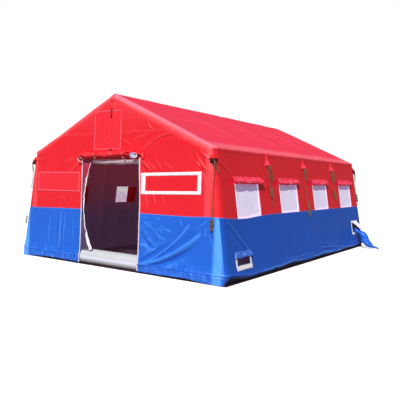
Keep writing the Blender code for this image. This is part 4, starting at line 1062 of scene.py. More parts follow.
def air_tube_skin(name, colour, shade):
    """The coated skin of an air-filled tube, with scuffs, a painted highlight along it at the
    ground tube's middle height and painted shade low down on it.
    """
    paint = Paint(name, Specular_IOR_Level=0.3)
    cloudy, z = paint.noise(3.0, 4.0), paint.z
    scuffs = paint.noise(30.0, 6.0, 0.7)
    base = paint.mix(shade, colour, (cloudy * 1.4 - 0.1).clamp())
    base = paint.mix(base, (0.30, 0.29, 0.27), ((scuffs - 0.58) * 2.5).clamp() * z.near(0.0, 0.5))
    # Painted highlight along the tube at the ground tube's middle height
    base = paint.mix(base, (0.80, 0.76, 0.95), (z.near(0.138, 0.036) * 1.6).clamp() * 0.9)
    # Painted shade on the lower part of the tube, near the ground
    base = paint.mix((0.36, 0.36, 0.35), base, z.above(0.055, 0.08))
    paint.raise_by(paint.ridges(9.0, 3.0), 0.0025)
    return paint.done(base, 0.30 + cloudy * 0.16 + (scuffs - 0.5) * 0.1)


def moulded_plastic():
    paint = Paint("tent_moulded", Specular_IOR_Level=0.4)
    cloudy = paint.noise(40.0, 3.0)
    paint.raise_by(paint.noise(700.0, 3.0), 0.0002)
    base = paint.mix((0.02, 0.02, 0.02), (0.06, 0.06, 0.06), cloudy)
    return paint.done(base, 0.38 + cloudy * 0.15)


def spiral_cloth():
    """The end of a roll: a spiral of the white inner and blue outer faces of its cloth."""
    paint = Paint("tent_roll_end", Specular_IOR_Level=0.3)
    layer = (paint.v * 1.6 - paint.u + 0.5).fract()
    base = paint.mix((0.80, 0.78, 0.86), (0.06, 0.10, 0.42), layer.above(0.58, 0.08))
    # Painted shade, near black, between the turns of the roll
    base = paint.mix(base, (0.01, 0.01, 0.02), layer.near(0.98, 0.12) * 0.8)
    paint.raise_by(layer, 0.002)
    return paint.done(base, 0.5 + paint.noise(40.0, 3.0) * 0.2)


def floor_cloth():
    paint = Paint("tent_floor", Specular_IOR_Level=0.2, Emission_Strength=1.0)
    cloudy = paint.noise(1.6, 4.0)
    dust = paint.noise(12.0, 6.0, 0.7)
    base = paint.mix((0.030, 0.014, 0.024), (0.050, 0.024, 0.040), cloudy)
    base = paint.mix(base, (0.10, 0.07, 0.08), ((dust - 0.5) * 1.6).clamp())
    # Painted glow of the floor cloth
    paint.feed("Emission Color", paint.mix((0.012, 0.005, 0.009), (0.026, 0.010, 0.018), cloudy))
    paint.raise_by(paint.ridges(3.0, 4.0, 0.6, 0.6), 0.008)
    return paint.done(base, 0.6 + cloudy * 0.2)


RED = dict(colour=(0.88, 0.020, 0.034), pale=(0.95, 0.10, 0.12), deep=(0.76, 0.012, 0.022))
# Red of the roof and flaps: pinker than the walls' red, partly a painted sheen of the light on them
PINK = dict(
    colour=(0.96, 0.050, 0.110), pale=(1.0, 0.20, 0.27), deep=(0.88, 0.032, 0.074), shine=0.12,
    roughness=0.55,
)
# Lit and shaded copies of one blue cloth: BLUE is painted lighter and SHADED_BLUE painted darker
BLUE = dict(
    colour=(0.020, 0.158, 0.77), pale=(0.10, 0.38, 1.0), deep=(0.013, 0.104, 0.56), glow=0.02
)
SHADED_BLUE = dict(
    colour=(0.012, 0.106, 0.61), pale=(0.07, 0.28, 0.95), deep=(0.008, 0.074, 0.44), glow=0.02
)
MATERIALS = {}


def make_materials():
    MATERIALS.update(
        # Strips of painted highlight: along the rakes, at the rounded corners and up the gable
        front=coated_cloth(
            "tent_red_front", seams=(("z", 2.454, 0.018),),
            highlight_bands=(("rake", 0.02, 0.11, 0.75), ("x", 2.15, 0.10, 0.6), ("x", -2.15, 0.10, 0.6),
                   ("z", 2.98, 0.60, 0.20)), **RED,
        ),
        side=coated_cloth("tent_red_side", **{**RED, "glow": 0.05}),
        # Strips of painted highlight at the roof's ends and along its eaves
        roof=coated_cloth(
            "tent_red_roof", seams=(("v", 0.95, 0.018), ("v", -0.95, 0.018)), crinkle=2.0,
            highlight_bands=(("u", 3.38, 0.13, 0.8), ("u", -3.38, 0.13, 0.8), ("v", 2.32, 0.20, 0.5),
                   ("v", -2.32, 0.20, 0.5)), **PINK,
        ),
        # Strips of painted highlight at the rounded corners
        skirt=coated_cloth(
            "tent_blue_skirt", seams=(("v", 1.034, 0.005),),
            highlight_bands=(("x", 2.37, 0.12, 1.0), ("x", -2.37, 0.12, 1.0)), **BLUE,
        ),
        skirt_side=coated_cloth(
            "tent_blue_skirt_side", seams=(("v", 1.034, 0.005),), **SHADED_BLUE
        ),
        red=coated_cloth("tent_red_trim", crinkle=1.6, **RED),
        blue=coated_cloth("tent_blue_trim", crinkle=1.6, **BLUE),
        hatch=coated_cloth(
            "tent_hatch_flap", (0.05, 0.21, 0.80), (0.42, 0.52, 0.85), (0.02, 0.12, 0.58),
            crinkle=2.0,
        ),
        flap=coated_cloth("tent_red_flap", crinkle=1.6, **PINK),
        patch=coated_cloth(
            "tent_patch", (0.93, 0.030, 0.052), (0.97, 0.13, 0.17), (0.84, 0.020, 0.036),
            crinkle=0.6,
        ),
        patch_edge=coated_cloth(
            "tent_patch_edge", (0.93, 0.15, 0.20), (0.97, 0.32, 0.38), (0.80, 0.09, 0.14),
            crinkle=0.6,
        ),
        spiral=spiral_cloth(),
        lining=lining_cloth(),
        film=window_film(),
        tape=webbing("tent_white_tape", (0.97, 0.91, 0.96), (0.86, 0.81, 0.87)),
        binding=webbing("tent_binding", (0.82, 0.74, 0.80), (0.62, 0.52, 0.58)),
        strap=webbing("tent_red_strap", (0.62, 0.02, 0.03), (0.36, 0.01, 0.02)),
        # Near-black webbing of painted shade, for the corner tabs' mouths and loops
        loop=webbing("tent_dark_loop", (0.085, 0.003, 0.004), (0.035, 0.001, 0.002), sheen=0.0),
        # The white roll has a painted glow on its outer face
        white_roll=coated_cloth(
            "tent_white_roll", (0.60, 0.43, 0.49), (0.80, 0.70, 0.76), (0.46, 0.32, 0.38),
            crinkle=1.2, soft=0.12,
        ),
        rope=rope_fibre(),
        net=net_cloth(),
        tube=air_tube_skin("tent_air_tube", (0.585, 0.61, 0.635), (0.52, 0.545, 0.57)),
        # The pane's edge tapes have a painted glow on both faces
        pane_edge=coated_cloth(
            "tent_pane_edge", (0.95, 0.86, 0.95), (1.0, 0.93, 1.0), (0.92, 0.62, 0.90), crinkle=0.5,
            dirt=0.0, glow=0.43, soft=0.40,
        ),
        arch=air_tube_skin("tent_arch_tube", (0.55, 0.57, 0.56), (0.36, 0.38, 0.38)),
        plastic=moulded_plastic(),
        floor=floor_cloth(),
    )


# Camera and ropes


def make_camera(settings):
    """The camera at the photograph's viewing angle."""
    yaw, pitch, roll = settings.yaw, settings.pitch, settings.roll
    ahead = Vector(
        (math.sin(yaw) * math.cos(pitch), math.cos(yaw) * math.cos(pitch), math.sin(pitch))
    )
    level = Vector((math.cos(yaw), -math.sin(yaw), 0))
    upright = level.cross(ahead)
    right = level * math.cos(roll) + upright * math.sin(roll)
    up = upright * math.cos(roll) - level * math.sin(roll)
    data = bpy.data.cameras.new("tent_camera")
    data.lens = settings.lens
    data.sensor_fit = "HORIZONTAL"
    data.sensor_width = 36.0
    data.clip_end = 200.0
    camera = bpy.data.objects.new("tent_camera", data)
    bpy.context.scene.collection.objects.link(camera)
    camera.matrix_world = Matrix((
        (right.x, up.x, -ahead.x, settings.place[0]),
        (right.y, up.y, -ahead.y, settings.place[1]),
        (right.z, up.z, -ahead.z, settings.place[2]),
        (0, 0, 0, 1),
    ))
    bpy.context.scene.camera = camera


# Guy tabs and ropes: the same routes as in the solids

ARCH_COUNT = 5
SIDES = ((RIGHT, "right"), (LEFT, "left"))
QUARTER_TURN = math.pi / 2
CORNER_BEVEL = 0.12
CORNER_FIT = 0.0036
TAB_HEIGHT = 1.95
TAB_REACH = 0.085
TAB_RADIUS = 0.062
TAB_DROOP = 0.035
TAB_SINK = 0.001
ROPE_START_OFF = 0.07
PLUMB_OFF = 0.018
CORNER_ROPE_SHIFT = -0.017
ROPE_START_GAP = 0.0011
ROPE_TURN = 0.016
STRAND_SHIFT = 0.006
ROPE_KNEE = 0.05
HANK_OFF = 0.018
HANK_LOOPS = 3
HANK_BEND = 0.017
HANK_WRAPS = 1
WRAP_CORNER = 0.003
WRAP_RISE = 0.012
TURN_SPACE = 0.0016
ROPE_DIAMETER = 0.008
# For each rope: where its doubled part ends, the hank's top and bottom, and the end of the tail
ROPE_HEIGHTS = (
    (0, 1.02, 0.85, 0.76),
    (1.70, 1.535, 1.35, 1.18),
    (1.72, 1.24, 0.94, 0.86),
    (1.67, 1.475, 1.285, 1.20),
    (1.70, 1.35, 1.15, 1.06),
    (0, 0.82, 0.66, 0.58),
    (1.70, 1.50, 1.31, 1.20),
    (1.71, 1.30, 1.05, 0.95),
    (1.68, 1.45, 1.26, 1.16),
    (1.70, 1.32, 1.13, 1.04),
)


def side_matrix(side, y, z, off=0.0):
    """Local X runs along the side wall, local Y up it and local Z straight out of it."""
    place = Matrix.Translation((side_x(z) + off * SIDE_HYP, side * y, z))
    lean = Matrix.Rotation(-math.atan(SIDE_LEAN), 4, "Y")
    upright = Matrix.Rotation(QUARTER_TURN, 4, "Z") @ Matrix.Rotation(QUARTER_TURN, 4, "X")
    turn = Matrix.Rotation(0 if side == RIGHT else math.pi, 4, "Z")
    return turn @ place @ lean @ upright


def tab_frame(side, station):
    """Matrix of a guy tab: local Z points out of the cover, local Y up it."""
    end = (station > ARCH_COUNT // 2) - (station < ARCH_COUNT // 2)
    if station not in (0, ARCH_COUNT - 1):
        return side_matrix(side, ARCH_STATIONS[station], TAB_HEIGHT)
    centre_x = side * (side_x(TAB_HEIGHT) - CORNER_BEVEL)
    centre_y = end * (end_y(TAB_HEIGHT) - CORNER_BEVEL)
    out = Vector((side, end, 0)).normalized()
    point = Vector((centre_x, centre_y, TAB_HEIGHT)) + out * (CORNER_BEVEL - CORNER_FIT)
    heading = math.atan2(out.y, out.x)
    lean = Matrix.Rotation(-math.atan((SIDE_LEAN + END_LEAN) / math.sqrt(2)), 4, "Y")
    upright = Matrix.Rotation(QUARTER_TURN, 4, "Z") @ Matrix.Rotation(QUARTER_TURN, 4, "X")
    return Matrix.Translation(point) @ Matrix.Rotation(heading, 4, "Z") @ lean @ upright


def rope_stand(side, station):
    """Where a guy rope hangs: a function of height that gives the cover's face there, and the
    directions straight out of it and along it, in the XY plane."""
    if 0 < station < ARCH_COUNT - 1:
        y = ARCH_STATIONS[station]
        return lambda z: Vector((side * side_x(z), y)), Vector((side, 0)), Vector((0, 1))
    end = FRONT if station == 0 else REAR
    if side == RIGHT and end == FRONT:
        x = side_x(TAB_HEIGHT) - CORNER_ROPE_SHIFT
        return lambda z: Vector((x, -end_y(z))), Vector((0, -1)), Vector((1, 0))
    out = Vector((side, end)).normalized()
    middle = CORNER_BEVEL * (1 - math.sqrt(0.5))

    def corner(z):
        return Vector((side * (side_x(z) - middle), end * (end_y(z) - middle)))

    return corner, out, Vector((-out.y, out.x))


def half_circle(centre, radius, start, sweep, steps):
    """Points of a half circle in the (along, height) plane, without its two ends."""
    angles = [start + sweep * i / steps for i in range(1, steps)]
    return [(centre[0] + radius * math.cos(a), centre[1] + radius * math.sin(a)) for a in angles]


def hank_line(top, bottom):
    """(along, height, off) of the loops of a hank and the turns of rope that tie its waist."""
    reach = (top - bottom) / 2 - HANK_BEND
    middle = (top + bottom) / 2
    loop = [(HANK_BEND, reach), (HANK_BEND, -reach)]
    loop += half_circle((0, -reach), HANK_BEND, 0, -math.pi, 4)
    loop += [(-HANK_BEND, -reach), (-HANK_BEND, reach)]
    loop += half_circle((0, reach), HANK_BEND, math.pi, -math.pi, 4)
    pitch = ROPE_DIAMETER + TURN_SPACE
    line = []
    for turn in range(HANK_LOOPS):
        for i, (along, height) in enumerate(loop):
            off = HANK_OFF + pitch * (turn + i / len(loop))
            line.append((along, middle + height, off))
    line.append((HANK_BEND, middle + reach, HANK_OFF + pitch * HANK_LOOPS))
    half_depth = pitch * HANK_LOOPS / 2
    round_it = ROPE_DIAMETER + 1.5 * TURN_SPACE
    wide, deep = HANK_BEND + round_it, half_depth + round_it
    narrow, shallow = HANK_BEND + WRAP_CORNER, half_depth + WRAP_CORNER
    ring = [(narrow, deep), (wide, shallow), (wide, -shallow), (narrow, -deep)]
    ring += [(-narrow, -deep), (-wide, -shallow), (-wide, shallow), (-narrow, deep)]
    for i in range(HANK_WRAPS * len(ring) + 1):
        along, off = ring[i % len(ring)]
        height = middle + WRAP_RISE - pitch * i / len(ring)
        line.append((along, height, HANK_OFF + half_depth + off))
    return line


def tab_underside(side, station, place):
    """Height of the underside of a guy tab above a point of the XY plane."""
    frame_here = tab_frame(side, station)
    half = TAB_RADIUS * math.sin(math.pi / 3)
    left = frame_here @ Vector((-half, -TAB_RADIUS / 2, -TAB_SINK))
    right = frame_here @ Vector((half, -TAB_RADIUS / 2, -TAB_SINK))
    tip = frame_here @ Vector((0, -TAB_DROOP, TAB_REACH - TAB_SINK))
    normal = (right - left).cross(tip - left)
    return tip.z - (normal.x * (place.x - tip.x) + normal.y * (place.y - tip.y)) / normal.z


def rope_route(side, station):
    """The whole centre line of a guy rope, from the underside of its tab to the end of its tail."""
    doubled, top, bottom, tail = ROPE_HEIGHTS[station if side == RIGHT else station + ARCH_COUNT]
    face, out, along = rope_stand(side, station)
    plumb = side == RIGHT and station == 0
    off = PLUMB_OFF if plumb else ROPE_START_OFF
    tab_foot = TAB_HEIGHT - TAB_DROOP
    start = tab_underside(side, station, face(tab_foot) + out * off) - ROPE_START_GAP
    strand = 2 * ROPE_TURN

    def hanging_off(z, shift=0.0):
        return max(off - SIDE_LEAN * (start - z), HANK_OFF) + shift

    line = [(0, start, off)]
    if doubled:
        line += [(0, doubled, hanging_off(doubled))]
        line += [(a, z, hanging_off(z, STRAND_SHIFT / 2)) for a, z in
                 half_circle((ROPE_TURN, doubled), ROPE_TURN, math.pi, math.pi, 4)]
        high = start - strand
        middle, last = STRAND_SHIFT, 2 * STRAND_SHIFT
        line += [(strand, doubled, hanging_off(doubled, middle)),
                 (strand, high, hanging_off(high, middle))]
        line += [(a, z, hanging_off(z, middle + STRAND_SHIFT / 2)) for a, z in
                 half_circle((ROPE_TURN, high), ROPE_TURN, 0, math.pi, 4)]
        low = doubled - strand
        line += [(0, high, hanging_off(high, last)), (0, low, hanging_off(low, last))]
    knee = min(doubled or start, start - ROPE_KNEE) - ROPE_KNEE
    rest = max(top + ROPE_KNEE, knee - ROPE_KNEE)
    line += [(0, rest, HANK_OFF + ROPE_DIAMETER / 2)]
    if rest - top > 2 * ROPE_KNEE:
        line += [(0, top + ROPE_KNEE, HANK_OFF)]
    line += hank_line(top, bottom)
    line += [(ROPE_TURN, bottom, line[-1][2]), (ROPE_TURN / 2, (bottom + tail) / 2, HANK_OFF)]
    line += [(0, tail, HANK_OFF)]
    return [(*(face(z) + out * o + along * a), z) for a, z, o in line]


def rounded_route(points, cut=0.012, steps=3):
    """The route with each corner cut off by a short curve, so that it never strays outwards."""
    points = np.asarray(points, float)
    out = [points[0]]
    for a, b, c in zip(points, points[1:], points[2:]):
        before, after = a - b, c - b
        room = min(np.linalg.norm(before), np.linalg.norm(after)) * 0.45
        trim = min(cut, room)
        start = b + before / np.linalg.norm(before) * trim
        end = b + after / np.linalg.norm(after) * trim
        for t in np.linspace(0, 1, steps + 1):
            out.append((1 - t) ** 2 * start + 2 * t * (1 - t) * b + t * t * end)
    out.append(points[-1])
    return np.array(out)


def make_ropes(settings):
    """Ten guy ropes, each a line from its tab, a hank tied at its waist, and a tail."""
    for side, side_name in SIDES:
        for station in range(ARCH_COUNT):
            line = rounded_route(rope_route(side, station), steps=settings.smoothing)
            if 0 < station < ARCH_COUNT - 1:
                # The doubled part hangs at a slant from well under the tab
                high = ease(1.66, 1.90, line[:, 2])
                line[:, 0] -= side * 0.036 * high
                line[:, 1] += 0.020 * np.sin(math.pi * high) - 0.022 * high
            name = f"rope_{side_name}_{station + 1}"
            mesh = tube(name, line, settings.diameter / 2, settings.sides)
            rope = add_piece(name, mesh, "rope", node=f"guy_{name}")
            declare_cord(line)


# Duct sleeve and its drawstring

TRIM_THICKNESS = 0.003
GAP = 0.0003
REAR_HATCH_Y = 2.865
REAR_HATCH_SILL = 0.335
REAR_HATCH_HEIGHT = 0.35
FRONT_HATCH_Y = -2.825
FRONT_HATCH_SILL = 0.195
HATCH_WIDTHS = {FRONT: 0.51, REAR: 0.44}
HATCH_HEIGHT = 0.29
HATCH_BAND = 0.065
SLEEVE_NECK = 0.05
SLEEVE_MOUTH = 0.128
SLEEVE_ROUTE = (
    (0.12, 0.0, 0.40, 0.085),
    (0.22, 0.0, 0.21, 0.080),
    (0.34, -0.01, 0.095, 0.082),
    (0.47, -0.02, 0.052, 0.044),
    (0.55, -0.03, 0.022, 0.018),
)
STRING_DIAMETER = 0.005
BIGHT_DIAMETER = 0.0096
STRING_HEIGHT = 0.004
STRING_ROUTE = ((0.66, -0.12), (0.76, -0.17), (0.85, -0.25), (0.95, -0.40))


def even_route(points, count):
    """count points, evenly spread, on a smooth curve through the route's own points."""
    dense = smooth_line(points, 12)
    run = run_along(dense)
    return resampled(dense, run, np.linspace(0, run[-1], count))


def sleeve_line(count):
    """Centre line of the sleeve and its radius at each point."""
    mouth_z = REAR_HATCH_SILL + REAR_HATCH_HEIGHT / 2
    face = side_matrix(RIGHT, REAR_HATCH_Y, mouth_z, TRIM_THICKNESS + 2 * GAP)
    face = face @ Matrix.Translation((0, -0.075, 0))
    mouth = 0.62 * SLEEVE_MOUTH
    route = [tuple(face @ Vector((0, 0, SLEEVE_NECK)))]
    route += [(BASE_WIDTH / 2 + dx, REAR_HATCH_Y + dy, z) for dx, dy, z, _ in SLEEVE_ROUTE]
    widths = [mouth] + [radius for *_, radius in SLEEVE_ROUTE]
    line = even_route(route, count)
    radii = np.interp(np.linspace(0, 1, count), np.linspace(0, 1, len(widths)), widths)
    line = np.vstack([tuple(face.translation), line])
    return line, np.concatenate([[mouth], radii])


def make_sleeve():
    """The duct sleeve with its gathers, and the drawstring on its end."""
    line, radii = sleeve_line(90)
    line = np.vstack([line[:1], line[:1] * 0.5 + line[1:2] * 0.5, line[1:]])
    radii = np.concatenate([radii[:1], radii[:1], radii[1:]])
    share = np.linspace(0, 1, len(line))

    def gathered(spoke, rings):
        middle_z = (rings - spoke)[..., 2]
        turn = np.linspace(0, 2 * math.pi, rings.shape[1])
        gathers = np.sin(9 * turn)[None, :] * (0.02 + 0.16 * ease(0.35, 0.95, share))[:, None]
        folds = 0.10 * noise(rings, 0.10, 31) + 0.05 * creased(rings, 0.05, 32) ** 3
        folds = folds * ease(0.0, 0.10, share)[:, None]
        spoke = spoke * (1 + gathers + folds)[..., None]
        # Empty of air, it lies flat on itself
        limp = ease(0.02, 0.14, share)[:, None]
        wider = 1 + 0.32 * ease(0.12, 0.30, share) * ease(0.85, 0.60, share)
        spoke[..., :2] *= wider[:, None, None]
        spoke[..., 2] *= 1 - 0.42 * limp
        spoke[..., 2] -= 0.03 * limp * ease(1.0, 0.5, share)[:, None]
        spoke[..., 2] = np.maximum(spoke[..., 2], 0.003 - middle_z)
        return spoke

    mesh = tube("sleeve", line, radii, 64, shape=gathered)
    add_piece("sleeve", mesh, "blue", node="duct_sleeve")

    end, ahead = Vector(line[-1]), Vector(line[-1] - line[-2]).normalized()
    cord = [tuple(end + ahead * off) for off in (GAP, GAP + 2 * STRING_DIAMETER)]
    cord += [(BASE_WIDTH / 2 + dx, REAR_HATCH_Y + dy, STRING_HEIGHT) for dx, dy in STRING_ROUTE]
    route = even_route(cord, 56)
    mesh = tube("sleeve_string", route, STRING_DIAMETER / 2, 10)
    string = add_piece("sleeve_string", mesh, "rope", node="drawstring")
    declare_cord(route)


# The cover


def half_width(z, inset=0.0):
    """Half width of an end wall at each height."""
    return np.minimum(side_x(z, inset), (roof_z(0, inset) - z) / ROOF_SLOPE)


def end_raw(end, inset=0.0, keep=END_KEEP):
    """A function of (x, z) that gives points of an end wall. x stays as it is within keep, and
    further out it is stretched to meet the corner or the rake."""
    edge = side_x(SEAM_HEIGHT, inset)
    widest = eave_point(inset)[0]

    def raw(x, z):
        half = half_width(z, inset)
        kept = keep * np.minimum(1, half / widest)
        over = np.maximum(np.abs(x) - keep, 0) / (edge - keep)
        fitted = np.minimum(np.abs(x) / keep, 1) * kept + over * (half - kept)
        return stack(np.sign(x) * fitted, end * end_y(z, inset), z)

    return raw, edge


def end_plain(x, z):
    """Points of the front wall for x and z as they are."""
    return stack(x, -end_y(z), z)


def side_raw(side, inset=0.0, keep=SIDE_KEEP):
    """The same for a side wall, as a function of (y, z)."""
    edge = end_y(SEAM_HEIGHT, inset)
    keep = min(keep, edge - 0.2)

    def raw(y, z):
        over = np.maximum(np.abs(y) - keep, 0) / (edge - keep)
        fitted = np.minimum(np.abs(y), keep) + over * (end_y(z, inset) - keep)
        return stack(side * side_x(z, inset), np.sign(y) * fitted, z)

    return raw, edge


def roof_raw(inset=0.0):
    """A function of (y, distance from the ridge) that gives points of the roof and, past the eave,
    of the top of a side wall."""
    eave_x, eave_z = eave_point(inset)
    slope = eave_x * ROOF_HYP
    edge = end_y(SEAM_HEIGHT, inset)

    def raw(y, s):
        run = np.minimum(np.abs(s), slope)
        past = np.abs(s) - run
        on_roof = roof_z(0, inset) - run * ROOF_SLOPE / ROOF_HYP
        z = np.where(past > 0, eave_z - past / SIDE_HYP, on_roof)
        x = np.where(past > 0, side_x(z, inset), run / ROOF_HYP)
        return stack(np.sign(s) * x, y / edge * end_y(z, inset), z)

    return raw, edge, slope


def make_roof(cloth, folds):
    raw, edge, slope = roof_raw()
    hem = slope + (EAVE_HEIGHT - EAVE_SEAM_HEIGHT) * SIDE_HYP
    us, vs = lines([-edge, edge], cloth.step), lines([-hem, -slope, 0, slope, hem], cloth.step)
    mesh = patch("roof_skin", us, vs, raw, folds, lift=LAP_LIFT)
    roof = add_piece("roof_skin", mesh, "roof", node="roof_cover")
    mesh.materials.append(MATERIALS["side"])
    for face in mesh.polygons:
        face.material_index = int(face.center.z < EAVE_HEIGHT - 0.014)
    2 * edge
    2 * hem


WALL_TOP = EAVE_SEAM_HEIGHT + 0.012
# Heights of the skirt's rows round its foot, where they are closest
FOOT_ROWS = (0.012, 0.05, 0.09, 0.13, 0.17, 0.21)


def wall_rows(cloth):
    """Heights of the walls' rows, the same all round so that the corners meet."""
    return lines([SEAM_HEIGHT, SEAM_HEIGHT + WINDOW_HEIGHT, DOOR_HEIGHT, WALL_TOP], cloth.fine)


def make_end_walls(cloth, folds):
    for end, name, node in ((FRONT, "front_skin", "front_wall"), (REAR, "rear_skin", "rear_wall")):
        raw, edge = end_raw(end)
        step = cloth.fine if end == FRONT else cloth.step
        us = lines([-edge, -END_KEEP, -DOOR_HALF, DOOR_HALF, END_KEEP, edge], step)
        gable = lines([WALL_TOP, EAVE_HEIGHT, RIDGE_HEIGHT - 0.004], step)
        vs = np.concatenate([wall_rows(cloth), gable[1:]])
        boxes = [(-DOOR_HALF, DOOR_HALF, 0, DOOR_HEIGHT)] if end == FRONT else []
        mesh = patch(name, us, vs, raw, folds, boxes=boxes)
        wall = add_piece(name, mesh, "front", node=node)
        area = (EAVE_HEIGHT - SEAM_HEIGHT) * (edge + EAVE_HALF_WIDTH)
        area += (RIDGE_HEIGHT - EAVE_HEIGHT) * EAVE_HALF_WIDTH
        area -= sum((b[1] - b[0]) * (b[3] - SEAM_HEIGHT) for b in boxes)
        2 * edge


def window_boxes():
    return [
        (y - WINDOW_WIDTH / 2, y + WINDOW_WIDTH / 2, SEAM_HEIGHT, SEAM_HEIGHT + WINDOW_HEIGHT)
        for y in BAY_CENTRES
    ]


def box_marks(boxes, first):
    return [value for box in boxes for value in box[first : first + 2]]


def make_side_walls(cloth, folds):
    boxes = window_boxes()
    for side, side_name in SIDES:
        raw, edge = side_raw(side)
        us = lines([-edge, edge] + box_marks(boxes, 0), cloth.step)
        # Closer points where a fold runs from each guy tab up to the eave
        near_tabs = [s + d for s in ARCH_STATIONS[1:-1] for d in np.linspace(-0.06, 0.06, 13)]
        near_tabs += list(np.linspace(-edge + 0.008, -2.84, 56))
        us = np.unique(np.round(np.concatenate([us, near_tabs]), 5))
        vs = wall_rows(cloth)
        mesh = patch(f"{side_name}_skin", us, vs, raw, folds, boxes=boxes)
        wall = add_piece(mesh.name, mesh, "side", node=f"{side_name}_wall")
        flat = (2 * edge, (vs[-1] - vs[0]) * SIDE_HYP)
        area = flat[0] * flat[1] - len(boxes) * WINDOW_WIDTH * WINDOW_HEIGHT * SIDE_HYP


def hatch_boxes():
    """The openings of the two hatches in (y, z) of the right-hand wall."""
    return [
        (
            y - width / 2 + HATCH_BAND, y + width / 2 - HATCH_BAND,
            sill + HATCH_BAND, sill + height - HATCH_BAND,
        )
        for y, width, sill, height in (
            (FRONT_HATCH_Y, HATCH_WIDTHS[FRONT], FRONT_HATCH_SILL, HATCH_HEIGHT),
            (REAR_HATCH_Y, HATCH_WIDTHS[REAR], REAR_HATCH_SILL, REAR_HATCH_HEIGHT),
        )
    ]


def make_skirt(cloth, folds):
    """The blue skirt round the foot, in five strips that meet at the corners."""
    top = SEAM_HEIGHT + 0.008
    hatches = hatch_boxes()
    low = lines(FOOT_ROWS, 0.010)
    vs = np.concatenate([low[:-1], lines([FOOT_ROWS[-1], top] + box_marks(hatches, 2), cloth.fine)])
    parts, area = [], 0.0
    for side in (RIGHT, LEFT):
        raw, edge = side_raw(side)
        boxes = hatches if side == RIGHT else []
        us = lines([-edge, edge] + box_marks(boxes, 0), cloth.step)
        strip = patch("strip", us, vs, raw, folds, lift=LAP_LIFT, hem=True, boxes=boxes)
        # The side strips take the shaded copy of the blue, painted darker
        strip.polygons.foreach_set("material_index", np.ones(len(strip.polygons), np.int32))
        parts.append(strip)
        openings = sum((y1 - y0) * (z1 - z0) for y0, y1, z0, z1 in boxes)
        area += ((us[-1] - us[0]) * (vs[-1] - vs[0]) - openings) * SIDE_HYP
    for end in (FRONT, REAR):
        raw, edge = end_raw(end)
        spans = [(-edge, -DOOR_HALF), (DOOR_HALF, edge)] if end == FRONT else [(-edge, edge)]
        for span in spans:
            marks = [*span] + [x for x in (-END_KEEP, END_KEEP) if span[0] < x < span[1]]
            us = lines(marks, cloth.fine if end == FRONT else cloth.step)
            parts.append(patch("strip", us, vs, raw, folds, lift=LAP_LIFT, hem=True))
            area += (us[-1] - us[0]) * (vs[-1] - vs[0])
    mesh = joined("skirt_skin", parts)
    skirt = add_piece("skirt_skin", mesh, "skirt", node="skirt")
    mesh.materials.append(MATERIALS["skirt_side"])
    area / top


def lining_folds(points):
    """Height of the soft folds of the hanging lining."""
    upright = points * (1, 1, 0.25)
    total = 0.014 * noise(upright, 0.45, 41) + 0.006 * noise(points, 0.22, 42)
    return total + 0.004 * creased(upright, 0.25, 43) ** 4


def make_lining(cloth):
    """The inner tent and the floor cloth."""
    inset, step = LINING_INSET, 0.04
    eave_z = eave_point(inset)[1]
    foot = 0.006
    boxes = [(y - 0.34, y + 0.34, SEAM_HEIGHT + 0.015, 1.44) for y in BAY_CENTRES]
    parts = []

    def lay(us, vs, raw, boxes=()):
        u, v = np.meshgrid(us, vs)
        points, normals = shell(raw(u, v), inset)
        points = points + normals * lining_folds(points)[..., None]
        # The lining's foot lies on the floor, further in towards the rear
        spread = ease(0.26, 0.0, points[..., 2]) * (0.26 + 0.05 * (points[..., 1] + 3))
        points[..., 0] -= np.sign(points[..., 0]) * spread * ease(1.6, 2.1, np.abs(points[..., 0]))
        points[..., 2] = np.maximum(points[..., 2], foot)
        drop = in_boxes(us, vs, boxes) if boxes else None
        uv = stack(u, v)
        parts.append(grid_mesh("strip", points, uv, -normals, drop=drop))

    for side in (RIGHT, LEFT):
        raw, edge = side_raw(side, inset, 2.9)
        mine = boxes + (hatch_boxes() if side == RIGHT else [])
        if side == LEFT:
            mine[0] = (mine[0][0], mine[0][1] + 0.05, mine[0][2], mine[0][3])
        us = lines([-edge, edge] + box_marks(mine, 0), step)
        lay(us, lines([foot, eave_z] + box_marks(mine, 2), step), raw, mine)
    raw, edge, slope = roof_raw(inset)
    lay(lines([-edge, edge], step), lines([-slope, 0, slope], step), raw)
    for end in (FRONT, REAR):
        raw, edge = end_raw(end, inset, 1.75)
        # The lining's own doorway is drawn back further than the cover's
        door = [(-1.0, DOOR_HALF, 0, DOOR_HEIGHT)] if end == FRONT else []
        us = lines([-edge, edge, -1.0, DOOR_HALF, -1.75, 1.75], step)
        vs = lines([foot, DOOR_HEIGHT, eave_z, roof_z(0, inset) - 0.004], step)
        lay(us, vs, raw, door)
    mesh = joined("lining_skin", parts)
    lining = add_piece("lining_skin", mesh, "lining", node="inner_lining")
    declare_sheet(lining, 2.9)

    half_x, half_y = side_x(0, 0.012), end_y(0, 0.012)
    u, v = np.meshgrid(lines([-half_x, half_x], 0.05), lines([-half_y, half_y], 0.05))
    height = 0.0025 + 0.0015 * noise(stack(u, v, 0), 0.2, 51)
    points = stack(u, v, height)
    mesh = grid_mesh("floor_skin", points, stack(u, v), (0, 0, 1))
    floor = add_piece("floor_skin", mesh, "floor", node="ground_sheet")
    2 * half_x
    2 * half_y


# Pieces sewn to the cover


